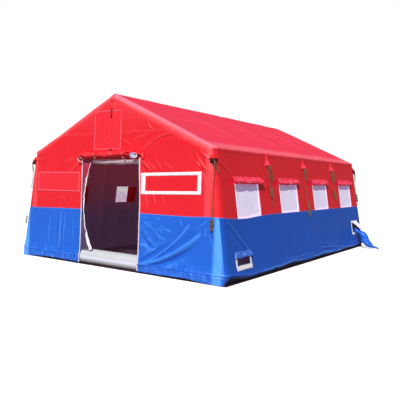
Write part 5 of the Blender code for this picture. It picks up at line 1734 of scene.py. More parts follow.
def strip_on(name, centre, half, raw, folds, lift=0.0025, step=0.012, edge=-0.001):
    """A sewn strip on the cover: centre is its middle line in the wall's own two numbers."""
    centre = np.asarray(centre, float)
    run = run_along(centre)
    wanted = lines(list(run), step)
    line = resampled(centre, run, wanted)
    ahead = unit(np.gradient(line, axis=0))
    across = stack(-ahead[:, 1], ahead[:, 0])
    offsets = np.array([-1.0, -0.97, -0.5, 0.0, 0.5, 0.97, 1.0])
    lifts = np.array([edge, lift, lift * 1.05, lift * 1.1, lift * 1.05, lift, edge])
    place = line[:, None] + across[:, None] * (offsets * half)[None, :, None]
    points, normals, *_ = laid(raw(place[..., 0], place[..., 1]), folds, hem=True)
    points = points + normals * lifts[None, :, None]
    uv = stack((offsets * half)[None, :], wanted[:, None])
    return grid_mesh(name, points, uv, normals)


def patch_on(name, box, raw, folds, lift=0.0025, step=0.015, swell=0.0):
    """A sewn rectangle on the cover, with its edges turned down to the cloth."""
    u0, u1, v0, v1 = box
    edge = 0.001
    us = np.concatenate([[u0], lines([u0 + edge, u1 - edge], step), [u1]])
    vs = np.concatenate([[v0], lines([v0 + edge, v1 - edge], step), [v1]])
    u, v = np.meshgrid(us, vs)
    points, normals, height, _ = laid(raw(u, v), folds)
    rise = np.full(u.shape, lift)
    rise[0] = rise[-1] = -0.001
    rise[:, 0] = rise[:, -1] = -0.001
    bulge = np.sin(math.pi * (u - u0) / (u1 - u0)) * np.sin(math.pi * (v - v0) / (v1 - v0))
    points = points + normals * (rise + swell * bulge)[..., None]
    # Its crest values paint highlights and shade on the folds
    return grid_mesh(name, points, stack(u, v), normals, crest=crest_of(height))


def frame_on(name, box, band, raw, folds, lift=0.003, step=0.012, edge=-0.001, upright=None):
    """A hollow frame of tape, sewn on the cover: two long bands over two upright ones, which may
    have their own width."""
    u0, u1, v0, v1 = box
    half, aside = band / 2, (upright or band) / 2
    meshes = [
        strip_on(name, [(u0, v), (u1, v)], half, raw, folds, lift, step, edge)
        for v in (v0 + half, v1 - half)
    ]
    meshes += [
        strip_on(
            name, [(u, v0 + band - 0.004), (u, v1 - band + 0.004)], aside, raw, folds, lift * 0.8,
            step, edge,
        )
        for u in (u0 + aside, u1 - aside)
    ]
    return joined(name, meshes)


def make_front_trim(folds):
    """The tape frame, the two bare patches and the bindings of the doorway."""
    raw, _ = end_raw(FRONT)
    middle = 1.393
    tape = (middle - 0.62, middle + 0.62, 1.567 - 0.184, 1.567 + 0.184)

    def tilted(x, z):
        return raw(x, z + 0.024 * (x - middle))

    mesh = frame_on("tape_frame", tape, 0.056, tilted, folds, upright=0.074)
    add_piece("tape_frame", mesh, "tape", node="front_tape_frame")
    for name, box, border in (
        ("upper_patch", (-0.455, 0.281, 2.155, 2.862), 0.016),
        ("side_patch", (-2.041, -0.811, 1.366, 1.739), 0.020),
    ):
        mesh = patch_on(name, box, end_plain, folds, swell=0.004)
        add_piece(name, mesh, "patch")
        mesh = frame_on(f"{name}_edge", box, border, end_plain, folds, lift=0.005)
        add_piece(f"{name}_edge", mesh, "patch_edge")
    for side, side_name in SIDES:
        x = side * (DOOR_HALF + 0.004)
        foot = 0.02 if side == RIGHT else 0.006
        line = [(x, foot), (x, DOOR_HEIGHT + 0.03)]
        mesh = strip_on(f"jamb_binding_{side_name}", line, 0.010, raw, folds, lift=0.004)
        add_piece(f"jamb_binding_{side_name}", mesh, "binding")


def make_windows(folds):
    """The eight panes with the white tapes down their edges."""
    for side, side_name in SIDES:
        raw, _ = side_raw(side)
        for bay, (y0, y1, z0, z1) in enumerate(window_boxes(), start=1):
            us, vs = lines([y0 - 0.02, y1 + 0.02], 0.03), lines([z0 - 0.01, z1 + 0.01], 0.03)
            u, v = np.meshgrid(us, vs)
            points, normals, *_ = laid(raw(u, v), folds)
            wrinkle = 0.003 * noise(points, 0.25, 61) + 0.002 * noise(points, 0.09, 62)
            points = points + normals * (wrinkle - 0.007)[..., None]
            mesh = grid_mesh(f"pane_{side_name}_{bay}", points, stack(u, v), normals)
            node = f"window_{mesh.name}"
            pane = add_piece(mesh.name, mesh, "film", node=node)
            # The wall's own cloth is turned in behind the pane's edges
            box = (y0 - 0.03, y1 + 0.03, z0 - 0.085, z1 + 0.03)
            mesh = frame_on(
                f"facing_{side_name}_{bay}", box, 0.10, raw, folds, -0.014, 0.04, -0.014
            )
            add_piece(mesh.name, mesh, "side")
            tapes = [
                strip_on("tape", line, 0.019, raw, folds, lift=-0.0012)
                for line in (
                    [(y0 + 0.018, z0 + 0.004), (y0 + 0.018, z1 - 0.10)],
                    [(y1 - 0.018, z0 + 0.004), (y1 - 0.018, z1 - 0.10)],
                    [(y0 + 0.038, z0 + 0.022), (y1 - 0.038, z0 + 0.022)],
                )
            ]
            mesh = joined(f"pane_tapes_{side_name}_{bay}", tapes)
            add_piece(mesh.name, mesh, "pane_edge")


def curl_profile(run, droop, radius, turns, count, space=0.006):
    """(out, up) of a sheet that runs out from its seam at an angle and then curls under."""
    along = np.array([math.cos(math.radians(droop)), -math.sin(math.radians(droop))])
    under = np.array([along[1], -along[0]])
    straight = [along * run * t for t in np.linspace(0, 1, count // 3, endpoint=False)]
    centre = along * run + under * radius
    curl = []
    for t in np.linspace(0, 1, count - len(straight)):
        turn = 2 * math.pi * turns * t
        r = radius - space * turn / (2 * math.pi)
        curl.append(centre + (-under * math.cos(turn) + along * math.sin(turn)) * r)
    return np.array(straight + curl)


def flap_mesh(
    name, side, centre_y, hinge_z, width, run, droop, radius, seed, crumple=1.0, open_end=1.0
):
    """A crumpled flap rolled up into a short awning: its ends flare and its middle sags."""
    across = np.linspace(-1, 1, 90)
    count = 44
    profile = curl_profile(run, droop, radius, 1.4, count)
    t, v = np.meshgrid(across, np.linspace(0, 1, count))
    out, up = profile[:, :1], profile[:, 1:]
    y = t * width / 2
    place = stack(y, out, up)
    free = ease(0.02, 0.35, v)
    flare = np.abs(t) ** 6 * (1 + t) * 0.9 * open_end
    rough = 0.014 * noise(place + seed, 0.09, seed) + 0.008 * noise(place + seed, 0.04, seed + 1)
    rough = rough + 0.026 * creased(place, 0.14, seed + 4) ** 3
    rough = crumple * rough * (1 - 0.7 * ease(0.22, 0.36, v))
    fine = 0.012 * creased(place, 0.10, seed + 5) ** 3 + 0.005 * noise(place, 0.05, seed + 6)
    out = out + free * (rough + 0.012 * flare)
    lift = 0.008 * noise(place - seed, 0.11, seed + 2) - 0.004 * (1 - t * t) + 0.008 * flare
    up = up + free * lift
    y = y + free * (0.022 * np.sign(t) * np.abs(t) ** 3 + 0.006 * noise(place, 0.06, seed + 3))
    x = side * (side_x(hinge_z) + 0.004 + np.maximum(out, 0.0))
    # Its crest values paint highlights on the crumples' crests and shade in their hollows
    return grid_mesh(
        name, stack(x, centre_y + y, hinge_z + up), stack(y, v * 0.3), (side * 0.3, 0, 1),
        crest=crest_of(rough + fine, 4), judged=count // 3,
    )


def toggle_mesh(name, place, size=0.012):
    """A short wooden toggle."""
    bm = bmesh.new()
    bmesh.ops.create_uvsphere(bm, u_segments=16, v_segments=12, radius=size)
    bmesh.ops.scale(bm, vec=(0.75, 1.35, 0.75), verts=bm.verts[:])
    bmesh.ops.translate(bm, vec=place, verts=bm.verts[:])
    return finished(name, bm)


def make_flaps():
    """The rolled flap over each window, with the toggle that holds it."""
    hinge_z = SEAM_HEIGHT + WINDOW_HEIGHT + 0.006
    for side, side_name in SIDES:
        for bay, y in enumerate(BAY_CENTRES, start=1):
            body = f"window_flap_{side_name}_{bay}"
            seed = 100 + 10 * bay + (5 if side == LEFT else 0)
            first = y == side * BAY_CENTRES[0]
            wide, droop, open_end = (0.94, 50, 1.0) if first else (0.885, 56, 0.3)
            mesh = flap_mesh(
                f"flap_{side_name}_{bay}", side, y - (0 if first else 0.012 * side), hinge_z, wide,
                0.112, droop, 0.024, seed, open_end=open_end,
            )
            flap = add_piece(mesh.name, mesh, "flap", node=body, body=body)
            declare_sheet(flap, wide)
            steeper = droop - 50
            x = side_x(hinge_z) + 0.086 - 0.001 * steeper
            place = (side * x, y + 0.02, hinge_z - 0.094 - 0.0012 * steeper)
            mesh = toggle_mesh(f"flap_toggle_{side_name}_{bay}", place)
            add_piece(mesh.name, mesh, "binding", body=body)


# The doorway

CURTAIN_STRAPS = (-0.70, -0.33, 0.38)


def door_frame(x, out, z):
    """A point in front of the front wall: out is the distance from its sharp form."""
    return stack(x, -end_y(z) - out, z)


def make_door_curtain():
    """The door curtain rolled up over the doorway: its roll, the roll's ends and what hangs by."""
    left, right = -0.80, 0.575
    t, v = shares(190, 70)
    x = left + (right - left) * t
    place = stack(x, 0, 0)
    # From its seam the sheet slopes out, turns over a rounded edge and runs back to the wall
    profile = smooth_line(
        [(0.002, 0.066), (0.030, 0.058), (0.066, 0.036), (0.092, 0.010), (0.094, -0.012),
         (0.070, -0.036), (0.040, -0.050), (0.018, -0.044), (0.014, -0.018), (0.040, 0.006)], 8,
    )
    along = np.linspace(0, 1, len(profile))
    out, z = np.interp(v, along, profile[:, 0]), np.interp(v, along, profile[:, 1])
    free = ease(0.0, 0.18, v)
    squeeze = 1 - 0.22 * sum(bump(x - k, 0.035) for k in CURTAIN_STRAPS)
    out = out * (1 - free * (1 - squeeze)) * (0.92 + 0.14 * noise(place, 0.28, 71) * free)
    z = z * (1 - free * (1 - squeeze)) + 2.036 + 0.026 * t + 0.006 * free * noise(place, 0.17, 72)
    body_points = stack(x, out, z)
    rough = 0.010 * noise(body_points, 0.075, 75) + 0.016 * creased(body_points, 0.09, 76) ** 4
    rough = (rough + 0.008 * creased(body_points, 0.04, 77) ** 3) * free
    out = out + rough * 0.7
    z = z + rough * 0.8
    points = door_frame(x, np.maximum(out, 0.002), z)
    # Its crest values paint highlights on the crumples' crests and shade in their hollows
    mesh = grid_mesh(
        "curtain_roll", points, stack(x, v * 0.4), (0, -1, 0.6), crest=crest_of(rough, 4), judged=24
    )
    curtain = add_piece("curtain_roll", mesh, "red", node="door_roll")
    declare_sheet(curtain, right - left)

    # The roll's ends: the right one is large and turned outwards
    for name, centre, turned, size in (
        ("curtain_end_right", (0.645, 0.118, 2.038), math.radians(-48), 0.068),
        ("curtain_end_left", (left, 0.052, 2.036), math.pi, 0.032),
    ):
        ring, spoke = np.meshgrid(np.linspace(0, 2 * math.pi, 97), np.linspace(0, 1, 40))
        reach = size * spoke * (1 + 0.05 * np.sin(2 * ring + 1))
        layer = (spoke * 1.6 - ring / (2 * math.pi) + 0.5) % 1.0
        push = 0.006 * np.sin(math.pi * layer) - 0.010 * (1 - spoke)
        push = push * ease(1.0, 0.9, spoke) - 0.02 * ease(0.93, 1.0, spoke)
        # turned is the heading of the end's face from +X towards -Y
        ahead, aside = (math.cos(turned), math.sin(turned)), (math.sin(turned), -math.cos(turned))
        x_of = centre[0] + ahead[0] * push + aside[0] * reach * np.cos(ring)
        y_of = ahead[1] * push + aside[1] * reach * np.cos(ring)
        points = door_frame(x_of, centre[1] - y_of, centre[2] + 0.8 * reach * np.sin(ring))
        uv = stack(ring / (2 * math.pi), spoke)
        mesh = grid_mesh(name, points, uv, (*ahead, 0), wrap=True)
        add_piece(name, mesh, "spiral" if centre[0] > 0 else "flap")

    # The loose corner of the sheet past the roll's right-hand end
    t, v = shares(40, 24)
    x = 0.42 + 0.385 * t
    crumple = noise(stack(x, v * 0.2, 0), 0.05, 78)
    reach = 0.112 * (1 - 0.85 * ease(0.62, 1, t)) * ease(0.0, 0.1, t + 0.1)
    drop = v * 0.030 + 0.10 * v * ease(0.80, 1.0, t) * (1 - 0.5 * ease(0.95, 1.0, t))
    out = 0.004 + reach * v + 0.012 * crumple * v
    arch = 0.012 * np.sin(math.pi * np.clip(t * 1.8, 0, 1))
    z = 2.118 + arch - 0.030 * t - drop + 0.012 * crumple * v
    points = door_frame(x, out, z)
    mesh = grid_mesh("curtain_corner", points, stack(x, v * 0.1), (0.0, -0.6, 1.0))
    corner = add_piece("curtain_corner", mesh, "red")
    declare_sheet(corner, 0.34)

    # The fold that hangs down at the roll's left-hand end, in the darker strap colour as painted
    # shade
    t, v = shares(24, 24)
    x = -0.838 + 0.085 * t * (1 - 0.25 * v) + 0.01 * v
    out = 0.012 + 0.022 * np.sin(4 * t) * v + 0.01 * v
    z = 2.070 - 0.195 * v * (1 - 0.30 * t)
    points = door_frame(x, out, z)
    mesh = grid_mesh("curtain_fold", points, stack(x, v * 0.1), (0.0, -1.0, 0.0))
    fold = add_piece("curtain_fold", mesh, "strap")
    declare_sheet(fold, 0.09)

    # A light tie that hangs in a bow from the roll's left-hand end
    tie = [
        (-0.770, 0.060, 2.020), (-0.786, 0.085, 1.990), (-0.776, 0.086, 1.956),
        (-0.752, 0.068, 1.936), (-0.728, 0.045, 1.930),
    ]
    tie = door_frame(*smooth_line(tie, 6).T)
    mesh = ribbon("curtain_tie", tie, (0.3, 1.0, 0.3), 0.007)
    add_piece("curtain_tie", mesh, "binding")

    for k, x in enumerate(CURTAIN_STRAPS, start=1):
        a = np.radians(np.linspace(95, -140, 24))
        strap = door_frame(x, 0.050 + 0.056 * np.cos(a), 2.043 + 0.052 * np.sin(a))
        mesh = ribbon(f"curtain_strap_{k}", strap, (1.0, 0.0, 0.0), 0.010)
        add_piece(mesh.name, mesh, "strap")
        place = tuple(door_frame(x, 0.090, 1.998))
        mesh = toggle_mesh(f"curtain_toggle_{k}", place)
        add_piece(mesh.name, mesh, "binding")


def make_inner_roll():
    """The whitish roll behind the curtain: the inner door, rolled up."""
    count = 120
    x = np.linspace(-0.515, 0.705, count)
    share = np.linspace(0, 1, count)
    place = stack(x, 0, 0)
    z = 1.950 - 0.008 * np.sin(math.pi * share * 1.6 + 0.4) - 0.012 * share
    z = z + 0.005 * noise(place, 0.18, 81)
    inner = -0.056
    points = door_frame(x, inner + 0.006 * noise(place, 0.25, 82), z)
    radius = 0.036 + 0.022 * ease(0.0, 0.8, share) + 0.004 * noise(place, 0.12, 83)
    radius[0] *= 0.6

    def crumpled(spoke, rings):
        folds = 0.08 * noise(rings, 0.09, 84) + 0.06 * creased(rings, 0.05, 85) ** 3
        return spoke * (1 + folds)[..., None]

    mesh = tube("inner_roll", points, radius, 40, shape=crumpled)
    add_piece("inner_roll", mesh, "white_roll", node="inner_door_roll")
    t, v = shares(100, 10)
    xs = -0.515 + 1.22 * t
    points = door_frame(xs, -0.012 - 0.03 * v, 2.06 - 0.08 * v + 0.003 * np.sin(14 * t))
    mesh = grid_mesh("inner_roll_head", points, stack(xs, v * 0.1), (0.0, -1.0, 0.0))
    head = add_piece("inner_roll_head", mesh, "white_roll")
    declare_sheet(head, 1.22)


def zip_arc(z):
    """x of the panel's curved zip edge at each height."""
    centre_x = -DOOR_HALF + 0.036 + 1.82
    return centre_x - np.sqrt(1.82 ** 2 - (z - 1.175) ** 2)


def make_side_panel():
    """The mesh panel at the left jamb and the white zip along its curved edge."""
    top, sill = 1.915, 0.285
    t, v = shares(26, 110)
    z = sill + (top - sill) * v
    edge = zip_arc(z)
    x = (-DOOR_HALF - 0.012) * (1 - t) + edge * t
    place = stack(x, 0, z * 0.4)
    inset = 0.012 + 0.012 * t + 0.010 * noise(place, 0.12, 91) * t + 0.006 * np.sin(7 * z) * t
    points = door_frame(x, -inset, z)
    mesh = grid_mesh("side_panel", points, stack(x, z), (0.0, -1.0, 0.0))
    panel = add_piece("side_panel", mesh, "net", node="door_side_panel")
    declare_sheet(panel, top - sill)

    z = np.linspace(sill, top, 120)
    x = zip_arc(z)
    ripple = 0.004 * np.sin(23 * z) + 0.003 * np.sin(41 * z + 1)
    line = door_frame(x + 0.004, -(0.020 + ripple), z)
    wide = 0.011 + 0.020 * ease(1.15, 0.45, z) + 0.003 * np.sin(17 * z)
    wide = wide + 0.012 * bump(z - 1.60, 0.13)
    tilt = stack(1, 0.35 * np.sin(6 * z), 0)
    mesh = ribbon("side_panel_zip", line, tilt, wide)
    add_piece("side_panel_zip", mesh, "tape")


# Hatches


def make_hatches(folds):
    """The tape frames of the two hatches, the front one's flap and the rear one's white flap."""
    raw, _ = side_raw(RIGHT)
    for name, (y0, y1, z0, z1) in zip(("front", "rear"), hatch_boxes()):
        box = (y0 - HATCH_BAND, y1 + HATCH_BAND, z0 - HATCH_BAND, z1 + HATCH_BAND)
        mesh = frame_on(
            f"hatch_tape_{name}", box, HATCH_BAND, raw, folds, lift=0.005, upright=0.045
        )
        add_piece(mesh.name, mesh, "tape", node=f"hatch_frame_{name}")
    hinge_z = FRONT_HATCH_SILL + HATCH_HEIGHT + 0.015
    mesh = flap_mesh("hatch_flap", RIGHT, FRONT_HATCH_Y, hinge_z, 0.48, 0.098, 76, 0.014, 170, 0.6)
    body = "hatch_flap_front"
    flap = add_piece("hatch_flap", mesh, "hatch", node=body, body=body)
    declare_sheet(flap, 0.52)

    # The rear hatch's own flap shows its white side and lies over the sleeve
    t, v = np.meshgrid(np.linspace(-1, 1, 30), np.linspace(0, 1, 24))
    top = REAR_HATCH_SILL + REAR_HATCH_HEIGHT
    place = stack(t, v, 0)
    off = 0.010 + 0.195 * v + 0.008 * noise(place, 0.6, 181) * v
    z = top - 0.020 - 0.180 * v + 0.006 * noise(place, 0.4, 182) * v
    y = REAR_HATCH_Y - 0.01 + (0.175 - 0.05 * v) * t
    points = stack(side_x(z) + off, y, z)
    mesh = grid_mesh("hatch_flap_rear", points, stack(y, v * 0.2), (1.0, 0.0, 1.0))
    white = add_piece("hatch_flap_rear", mesh, "tape")
    declare_sheet(white, 0.32)


# Guy tabs

TAB_POINTS = 49


def make_tabs():
    """The folded triangle of cloth that holds each guy rope."""
    for side, side_name in SIDES:
        for station in range(ARCH_COUNT):
            matrix = np.array(tab_frame(side, station))
            half = TAB_RADIUS * math.sin(math.pi / 3)
            foot = -TAB_RADIUS / 2
            loop = [(-half, foot), (half, foot), (0, TAB_RADIUS + TAB_DROOP), (-half, foot)]
            edge = resampled(loop, range(4), np.linspace(0, 3, TAB_POINTS))
            grow, ring = np.meshgrid(np.linspace(0, 1, 16), np.arange(TAB_POINTS), indexing="ij")
            spread = 1.8 - 0.5 * ease(0, 0.15, grow)
            at_corner = station in (0, ARCH_COUNT - 1)
            wide, tall = (0.85, 0.50) if at_corner else (1.1, 0.78)
            flat = edge[ring] * (spread * (1 - grow) ** 1.15)[..., None] * (wide, tall)
            droop = TAB_DROOP * grow ** 1.3 - (0.045 if at_corner else 0)
            height = TAB_REACH * grow ** 0.9 - 0.003
            local = stack(flat[..., 0], flat[..., 1] - droop, height)
            rough = 0.008 * noise(local, 0.035, 110 + station) * np.sin(math.pi * grow)
            local += rough[..., None]
            local[:, -1] = local[:, 0]
            points = placed(matrix, local)
            outward = stack(local[..., 0], local[..., 1], 0.02) @ matrix[:3, :3].T
            uv = stack(ring / (TAB_POINTS - 1) * 0.3, grow * 0.1)
            name = f"guy_tab_{side_name}_{station + 1}"
            mesh = grid_mesh(name, points, uv, outward, wrap=True)
            add_piece(name, mesh, "red" if at_corner else "flap")
            if at_corner:
                # The tab's inner side round the place where the rope comes out, a dark sheet of
                # painted shade
                turn, spoke = shares(TAB_POINTS, 12)
                turn = 2 * math.pi * turn
                ragged = 1 + 0.14 * np.sin(3 * turn + 1) + 0.07 * np.sin(7 * turn)
                local = stack(
                    0.066 * spoke * ragged * np.cos(turn) - 0.006,
                    0.062 * spoke * ragged * np.sin(turn) + 0.006,
                    0.017 - 0.022 * spoke ** 4,
                )
                local[:, -1] = local[:, 0]
                mesh = grid_mesh(
                    f"guy_mouth_{side_name}_{station + 1}", placed(matrix, local),
                    stack(turn, spoke) * 0.05, matrix[:3, 2], wrap=True,
                )
                add_piece(mesh.name, mesh, "loop")
                # A loop of webbing under the corner's tab holds the rope, dark with painted shade
                turn = np.linspace(math.radians(60), math.radians(480), 40)
                drop = stack(
                    0.034 * np.cos(turn), 0.046 * np.sin(turn) - 0.022,
                    0.030 + 0.012 * np.cos(2 * turn),
                )
                route = placed(matrix, drop)
                mesh = ribbon(f"guy_loop_{side_name}_{station + 1}", route, matrix[:3, 2], 0.024)
                add_piece(mesh.name, mesh, "loop")
            bight = [(-0.012, 0.0, 0.062), (-0.002, -0.05, 0.066), (0.040, -0.14, 0.040),
                     (0.058, -0.20, 0.026), (0.072, -0.205, 0.026), (0.066, -0.17, 0.034),
                     (0.018, -0.06, 0.066), (0.004, 0.0, 0.062)]
            if not at_corner:
                bight = [(x + 0.25 * abs(y), 1.35 * y - 0.03, z) for x, y, z in bight]
            route = placed(matrix, smooth_line(bight, 6))
            name = f"rope_bight_{side_name}_{station + 1}"
            rope = add_piece(name, tube(name, route, BIGHT_DIAMETER / 2, 10), "rope")
            declare_cord(route)


# Air tubes and valves

SKIN = 0.0023
ARCH_RADIUS = 0.13
ARCH_BEND = 0.16
GROUND_TUBE_RADIUS = 0.14
TUBE_HEIGHT = 0.0033 + GROUND_TUBE_RADIUS
TUBE_INSET = SKIN + GROUND_TUBE_RADIUS
ARCH_INSET = SKIN + ARCH_RADIUS
PURLIN_RADIUS = 0.07
TUBE_SLACK = 0.016
TUBE_STEP = 0.05
TUBE_END_ROUND = 0.12


def fillet(corner, before, after, radius, steps):
    """Points of an arc that rounds one corner of a line in the XZ plane."""
    corner, before, after = Vector(corner), Vector(before), Vector(after)
    back = (before - corner).normalized()
    ahead = (after - corner).normalized()
    half_angle = back.angle(ahead) / 2
    centre = corner + (back + ahead).normalized() * radius / math.sin(half_angle)
    start = corner + back * radius / math.tan(half_angle) - centre
    sweep = math.pi - 2 * half_angle
    turn = math.copysign(1, back.x * ahead.y - back.y * ahead.x)
    points = []
    for i in range(steps + 1):
        angle = -turn * sweep * i / steps
        cos, sin = math.cos(angle), math.sin(angle)
        points.append((
            centre.x + start.x * cos - start.y * sin, centre.y + start.x * sin + start.y * cos
        ))
    return points


def arch_line():
    """Centre line of an arch in (x, z), from the left foot over the ridge to the right foot."""
    eave, ridge = eave_point(ARCH_INSET), (0.0, roof_z(0, ARCH_INSET))
    foot = (side_x(TUBE_HEIGHT, ARCH_INSET), TUBE_HEIGHT)
    right = [foot] + fillet(eave, foot, ridge, ARCH_BEND, 10)
    left = [(-x, z) for x, z in right]
    top = fillet(ridge, (-eave[0], eave[1]), eave, ARCH_BEND, 10)
    return left + top + right[::-1]


def divided(points, step):
    """The line with points about step apart, and one at each of its own."""
    run = run_along(points)
    return resampled(points, run, lines(list(run), step))


def puckered(seed, depth):
    """A tube's shape with the small puckers of a welded, blown-up skin."""

    def shape(spoke, rings):
        size = np.linalg.norm(spoke, axis=-1)
        folds = depth * (creased(rings, 0.12, seed) ** 5 * 0.6 + 0.4 * noise(rings, 0.3, seed + 1))
        return spoke * (1 - folds / np.maximum(size, 1e-6))[..., None]

    return shape


def make_air_frame():
    """The arches and the tubes that tie them together."""
    for station in range(ARCH_COUNT):
        end = (station == ARCH_COUNT - 1) - (station == 0)
        line = divided(arch_line(), 0.06)
        inset = ARCH_INSET + (0.002 if end else 0.0)
        y = end * end_y(line[:, 1], inset) if end else np.full(len(line), ARCH_STATIONS[station])
        points = stack(line[:, 0], y, line[:, 1])
        name = f"arch_tube_{station + 1}"
        shape = puckered(120 + station, 0.004)
        mesh = tube(name, points, ARCH_RADIUS - TUBE_SLACK, 28, shape=shape)
        add_piece(name, mesh, "arch", node=f"arch_{station + 1}")
    bend = math.atan(ROOF_SLOPE)
    eave_x, eave_z = eave_point(ARCH_INSET)
    turn = QUARTER_TURN - math.atan(SIDE_LEAN) - bend
    cut = ARCH_BEND * (1 / math.cos(turn / 2) - 1)
    inward = Vector((-SIDE_LEAN, 1)).normalized() * -1 + Vector((-1, ROOF_SLOPE)).normalized()
    step = inward.normalized() * cut
    ridge_z = roof_z(0, ARCH_INSET) - ARCH_BEND * (1 / math.cos(bend) - 1)
    tube_x = side_x(TUBE_HEIGHT, TUBE_INSET)
    long_side = end_y(TUBE_HEIGHT + GROUND_TUBE_RADIUS / 3, SKIN)
    end_place = end_y(TUBE_HEIGHT, TUBE_INSET)
    eave_x, eave_z = eave_x + step.x, eave_z + step.y
    reach = end_y(ridge_z, SKIN) - 0.06, end_y(eave_z, SKIN) - 0.06
    runs = [("ridge_tube", PURLIN_RADIUS, (0, -reach[0], ridge_z), (0, reach[0], ridge_z))]
    for kind, radius, x, z, far in (
        ("eave_tube", PURLIN_RADIUS, eave_x, eave_z, reach[1]),
        ("ground_tube", GROUND_TUBE_RADIUS, tube_x, TUBE_HEIGHT, long_side),
    ):
        for side, side_name in SIDES:
            ends = (side * x, -far, z), (side * x, far, z)
            runs.append((f"{kind}_{side_name}", radius, *ends))
    for y, end_name in ((-end_place, "front"), (end_place, "rear")):
        ends = (-tube_x, y, TUBE_HEIGHT), (tube_x, y, TUBE_HEIGHT)
        runs.append((f"ground_tube_{end_name}", GROUND_TUBE_RADIUS, *ends))
    for k, (node, radius, first, last) in enumerate(runs):
        points = divided([first, last], TUBE_STEP)
        share = np.linspace(0, 1, len(points))
        ends = np.minimum(share, 1 - share) * len(points) * TUBE_STEP
        slack = 0.0 if node == "ground_tube_front" else TUBE_SLACK
        near_end = np.maximum(1 - ends / TUBE_END_ROUND, 0)
        radii = (radius - slack) * np.sqrt(np.clip(1 - near_end ** 2, 0.1, 1))
        mesh = tube(f"{node}_skin", points, radii, 40, shape=puckered(140 + 3 * k, 0.003))
        add_piece(mesh.name, mesh, "tube", node=node)


def dress_solids():
    """The moulded pieces keep their solids and get their own material."""
    for node in ("inflation_valve", "valve_cap", "relief_valve"):
        for slot in bpy.data.objects[node].material_slots:
            slot.material = MATERIALS["plastic"]


# Stage


def make_stage(light):
    """A plain pale floor, one soft lamp and an even pale surrounding."""
    bm = bmesh.new()
    bmesh.ops.create_grid(bm, x_segments=8, y_segments=8, size=60.0)
    bmesh.ops.translate(bm, vec=(0, 0, -0.002), verts=bm.verts[:])
    mesh = finished("stage_floor", bm)
    paint = Paint("stage_floor", Roughness=0.9, Specular_IOR_Level=0.0)
    seen = paint.node("ShaderNodeLightPath", output="Is Camera Ray")
    plain = Wire(paint, paint.shader.outputs[0])
    paint.feed("Base Color", paint.mix((0.32, 0.32, 0.33), (0.90, 0.90, 0.90), seen))
    colour = (1.0, 1.0, 1.0, 1.0)
    glow = paint.node("ShaderNodeEmission", sockets={"Color": colour, "Strength": 0.55})
    both = paint.node("ShaderNodeAddShader", sockets={0: plain, 1: glow})
    mixed = paint.node("ShaderNodeMixShader", sockets={0: seen, 1: plain, 2: both})
    paint.tree.links.new(mixed.socket, paint.tree.nodes["Material Output"].inputs["Surface"])
    floor = bpy.data.objects.new("stage_floor", mesh)
    bpy.context.scene.collection.objects.link(floor)
    mesh.materials.append(paint.material)

    lamp = bpy.data.lights.new("key", "SUN")
    lamp.energy = light.key_power
    lamp.angle = light.key_spread
    key = bpy.data.objects.new("key", lamp)
    key.rotation_euler = Vector(light.key_from).to_track_quat("Z", "Y").to_euler()
    bpy.context.scene.collection.objects.link(key)

    world = bpy.data.worlds.new("surroundings")
    world.use_nodes = True
    tree = world.node_tree
    back = tree.nodes["Background"]
    back.inputs["Color"].default_value = (1.0, 1.0, 1.0, 1.0)
    rays = tree.nodes.new("ShaderNodeLightPath")
    level = tree.nodes.new("ShaderNodeMapRange")
    level.inputs["To Min"].default_value = light.fill
    level.inputs["To Max"].default_value = 1.0
    tree.links.new(rays.outputs["Is Camera Ray"], level.inputs["Value"])
    tree.links.new(level.outputs["Result"], back.inputs["Strength"])
    bpy.context.scene.world = world
    bpy.context.scene.view_settings.view_transform = "Standard"


# The add-on


class TentSettings(bpy.types.PropertyGroup):
    """All settings of the tent's looks."""

    camera: PointerProperty(type=TentCameraSettings)
    light: PointerProperty(type=TentLightSettings)
    cloth: PointerProperty(type=TentClothSettings)
    rope: PointerProperty(type=TentRopeSettings)


class TentStep:
    """What every step of the build has in common."""

    bl_options = {"REGISTER", "UNDO"}

    def execute(self, context):
        self.build(context.scene.tent)
        return {"FINISHED"}


class TENT_OT_camera(TentStep, bpy.types.Operator):
    """Place the camera at the photograph's viewing angle"""

    bl_idname = "tent.camera"
    bl_label = "Camera"

    def build(self, settings):
        make_camera(settings.camera)


class TENT_OT_materials(TentStep, bpy.types.Operator):
    """Make the procedural materials"""

    bl_idname = "tent.materials"
    bl_label = "Materials"

    def build(self, settings):
        make_materials()


class TENT_OT_ropes(TentStep, bpy.types.Operator):
    """Make the guy ropes"""

    bl_idname = "tent.ropes"
    bl_label = "Guy ropes"

    def build(self, settings):
        make_ropes(settings.rope)


class TENT_OT_sleeve(TentStep, bpy.types.Operator):
    """Make the duct sleeve and its drawstring"""

    bl_idname = "tent.sleeve"
    bl_label = "Duct sleeve"

    def build(self, settings):
        make_sleeve()


class TENT_OT_cover(TentStep, bpy.types.Operator):
    """Make the roof, the four walls and the skirt"""

    bl_idname = "tent.cover"
    bl_label = "Cover"

    def build(self, settings):
        folds = Folds(settings.cloth)
        make_roof(settings.cloth, folds)
        make_end_walls(settings.cloth, folds)
        make_side_walls(settings.cloth, folds)
        make_skirt(settings.cloth, folds)


class TENT_OT_trim(TentStep, bpy.types.Operator):
    """Make the panes, tapes, patches and hatches sewn to the cover"""

    bl_idname = "tent.trim"
    bl_label = "Trim"

    def build(self, settings):
        folds = Folds(settings.cloth)
        make_front_trim(folds)
        make_windows(folds)
        make_hatches(folds)
        make_tabs()


class TENT_OT_flaps(TentStep, bpy.types.Operator):
    """Make the rolled flaps over the windows"""

    bl_idname = "tent.flaps"
    bl_label = "Window flaps"

    def build(self, settings):
        make_flaps()


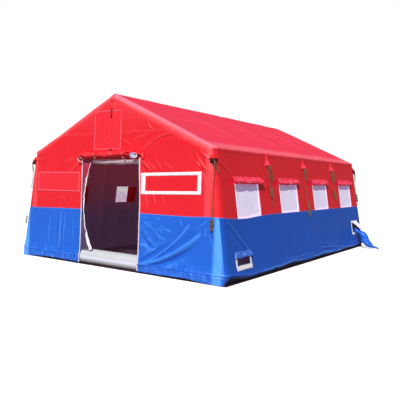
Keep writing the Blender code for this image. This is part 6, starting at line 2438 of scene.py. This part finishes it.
class TENT_OT_door(TentStep, bpy.types.Operator):
    """Make the rolled curtain, the inner roll and the mesh panel of the doorway"""

    bl_idname = "tent.door"
    bl_label = "Doorway"

    def build(self, settings):
        make_door_curtain()
        make_inner_roll()
        make_side_panel()


class TENT_OT_inside(TentStep, bpy.types.Operator):
    """Make the lining, the floor, the air tubes and the valves"""

    bl_idname = "tent.inside"
    bl_label = "Inside"

    def build(self, settings):
        make_lining(settings.cloth)
        make_air_frame()
        dress_solids()


class TENT_OT_stage(TentStep, bpy.types.Operator):
    """Make the floor, the lamp and the surroundings"""

    bl_idname = "tent.stage"
    bl_label = "Stage"

    def build(self, settings):
        make_stage(settings.light)


STEPS = (
    TENT_OT_camera, TENT_OT_materials, TENT_OT_ropes, TENT_OT_sleeve, TENT_OT_cover, TENT_OT_trim,
    TENT_OT_flaps, TENT_OT_door, TENT_OT_inside, TENT_OT_stage,
)


class TENT_PT_panel(bpy.types.Panel):
    """The tent's settings and steps"""

    bl_idname = "TENT_PT_panel"
    bl_label = "Tent"
    bl_space_type = "VIEW_3D"
    bl_region_type = "UI"
    bl_category = "Tent"

    def draw(self, context):
        tent = context.scene.tent
        for group in (tent.camera, tent.light, tent.cloth, tent.rope):
            box = self.layout.box()
            for name in group.__annotations__:
                box.prop(group, name)
        for step in STEPS:
            self.layout.operator(step.bl_idname)


CLASSES = (
    TentCameraSettings, TentLightSettings, TentClothSettings, TentRopeSettings, TentSettings,
    *STEPS, TENT_PT_panel,
)


def register():
    for cls in CLASSES:
        bpy.utils.register_class(cls)
    bpy.types.Scene.tent = PointerProperty(type=TentSettings)


def unregister():
    del bpy.types.Scene.tent
    for cls in reversed(CLASSES):
        bpy.utils.unregister_class(cls)


def main():
    register()
    bpy.ops.tent.camera()
    bpy.ops.tent.materials()
    bpy.ops.tent.ropes()
    bpy.ops.tent.sleeve()
    bpy.ops.tent.cover()
    bpy.ops.tent.trim()
    bpy.ops.tent.flaps()
    bpy.ops.tent.door()
    bpy.ops.tent.inside()
    bpy.ops.tent.stage()


if __name__ == "__main__":
    main()
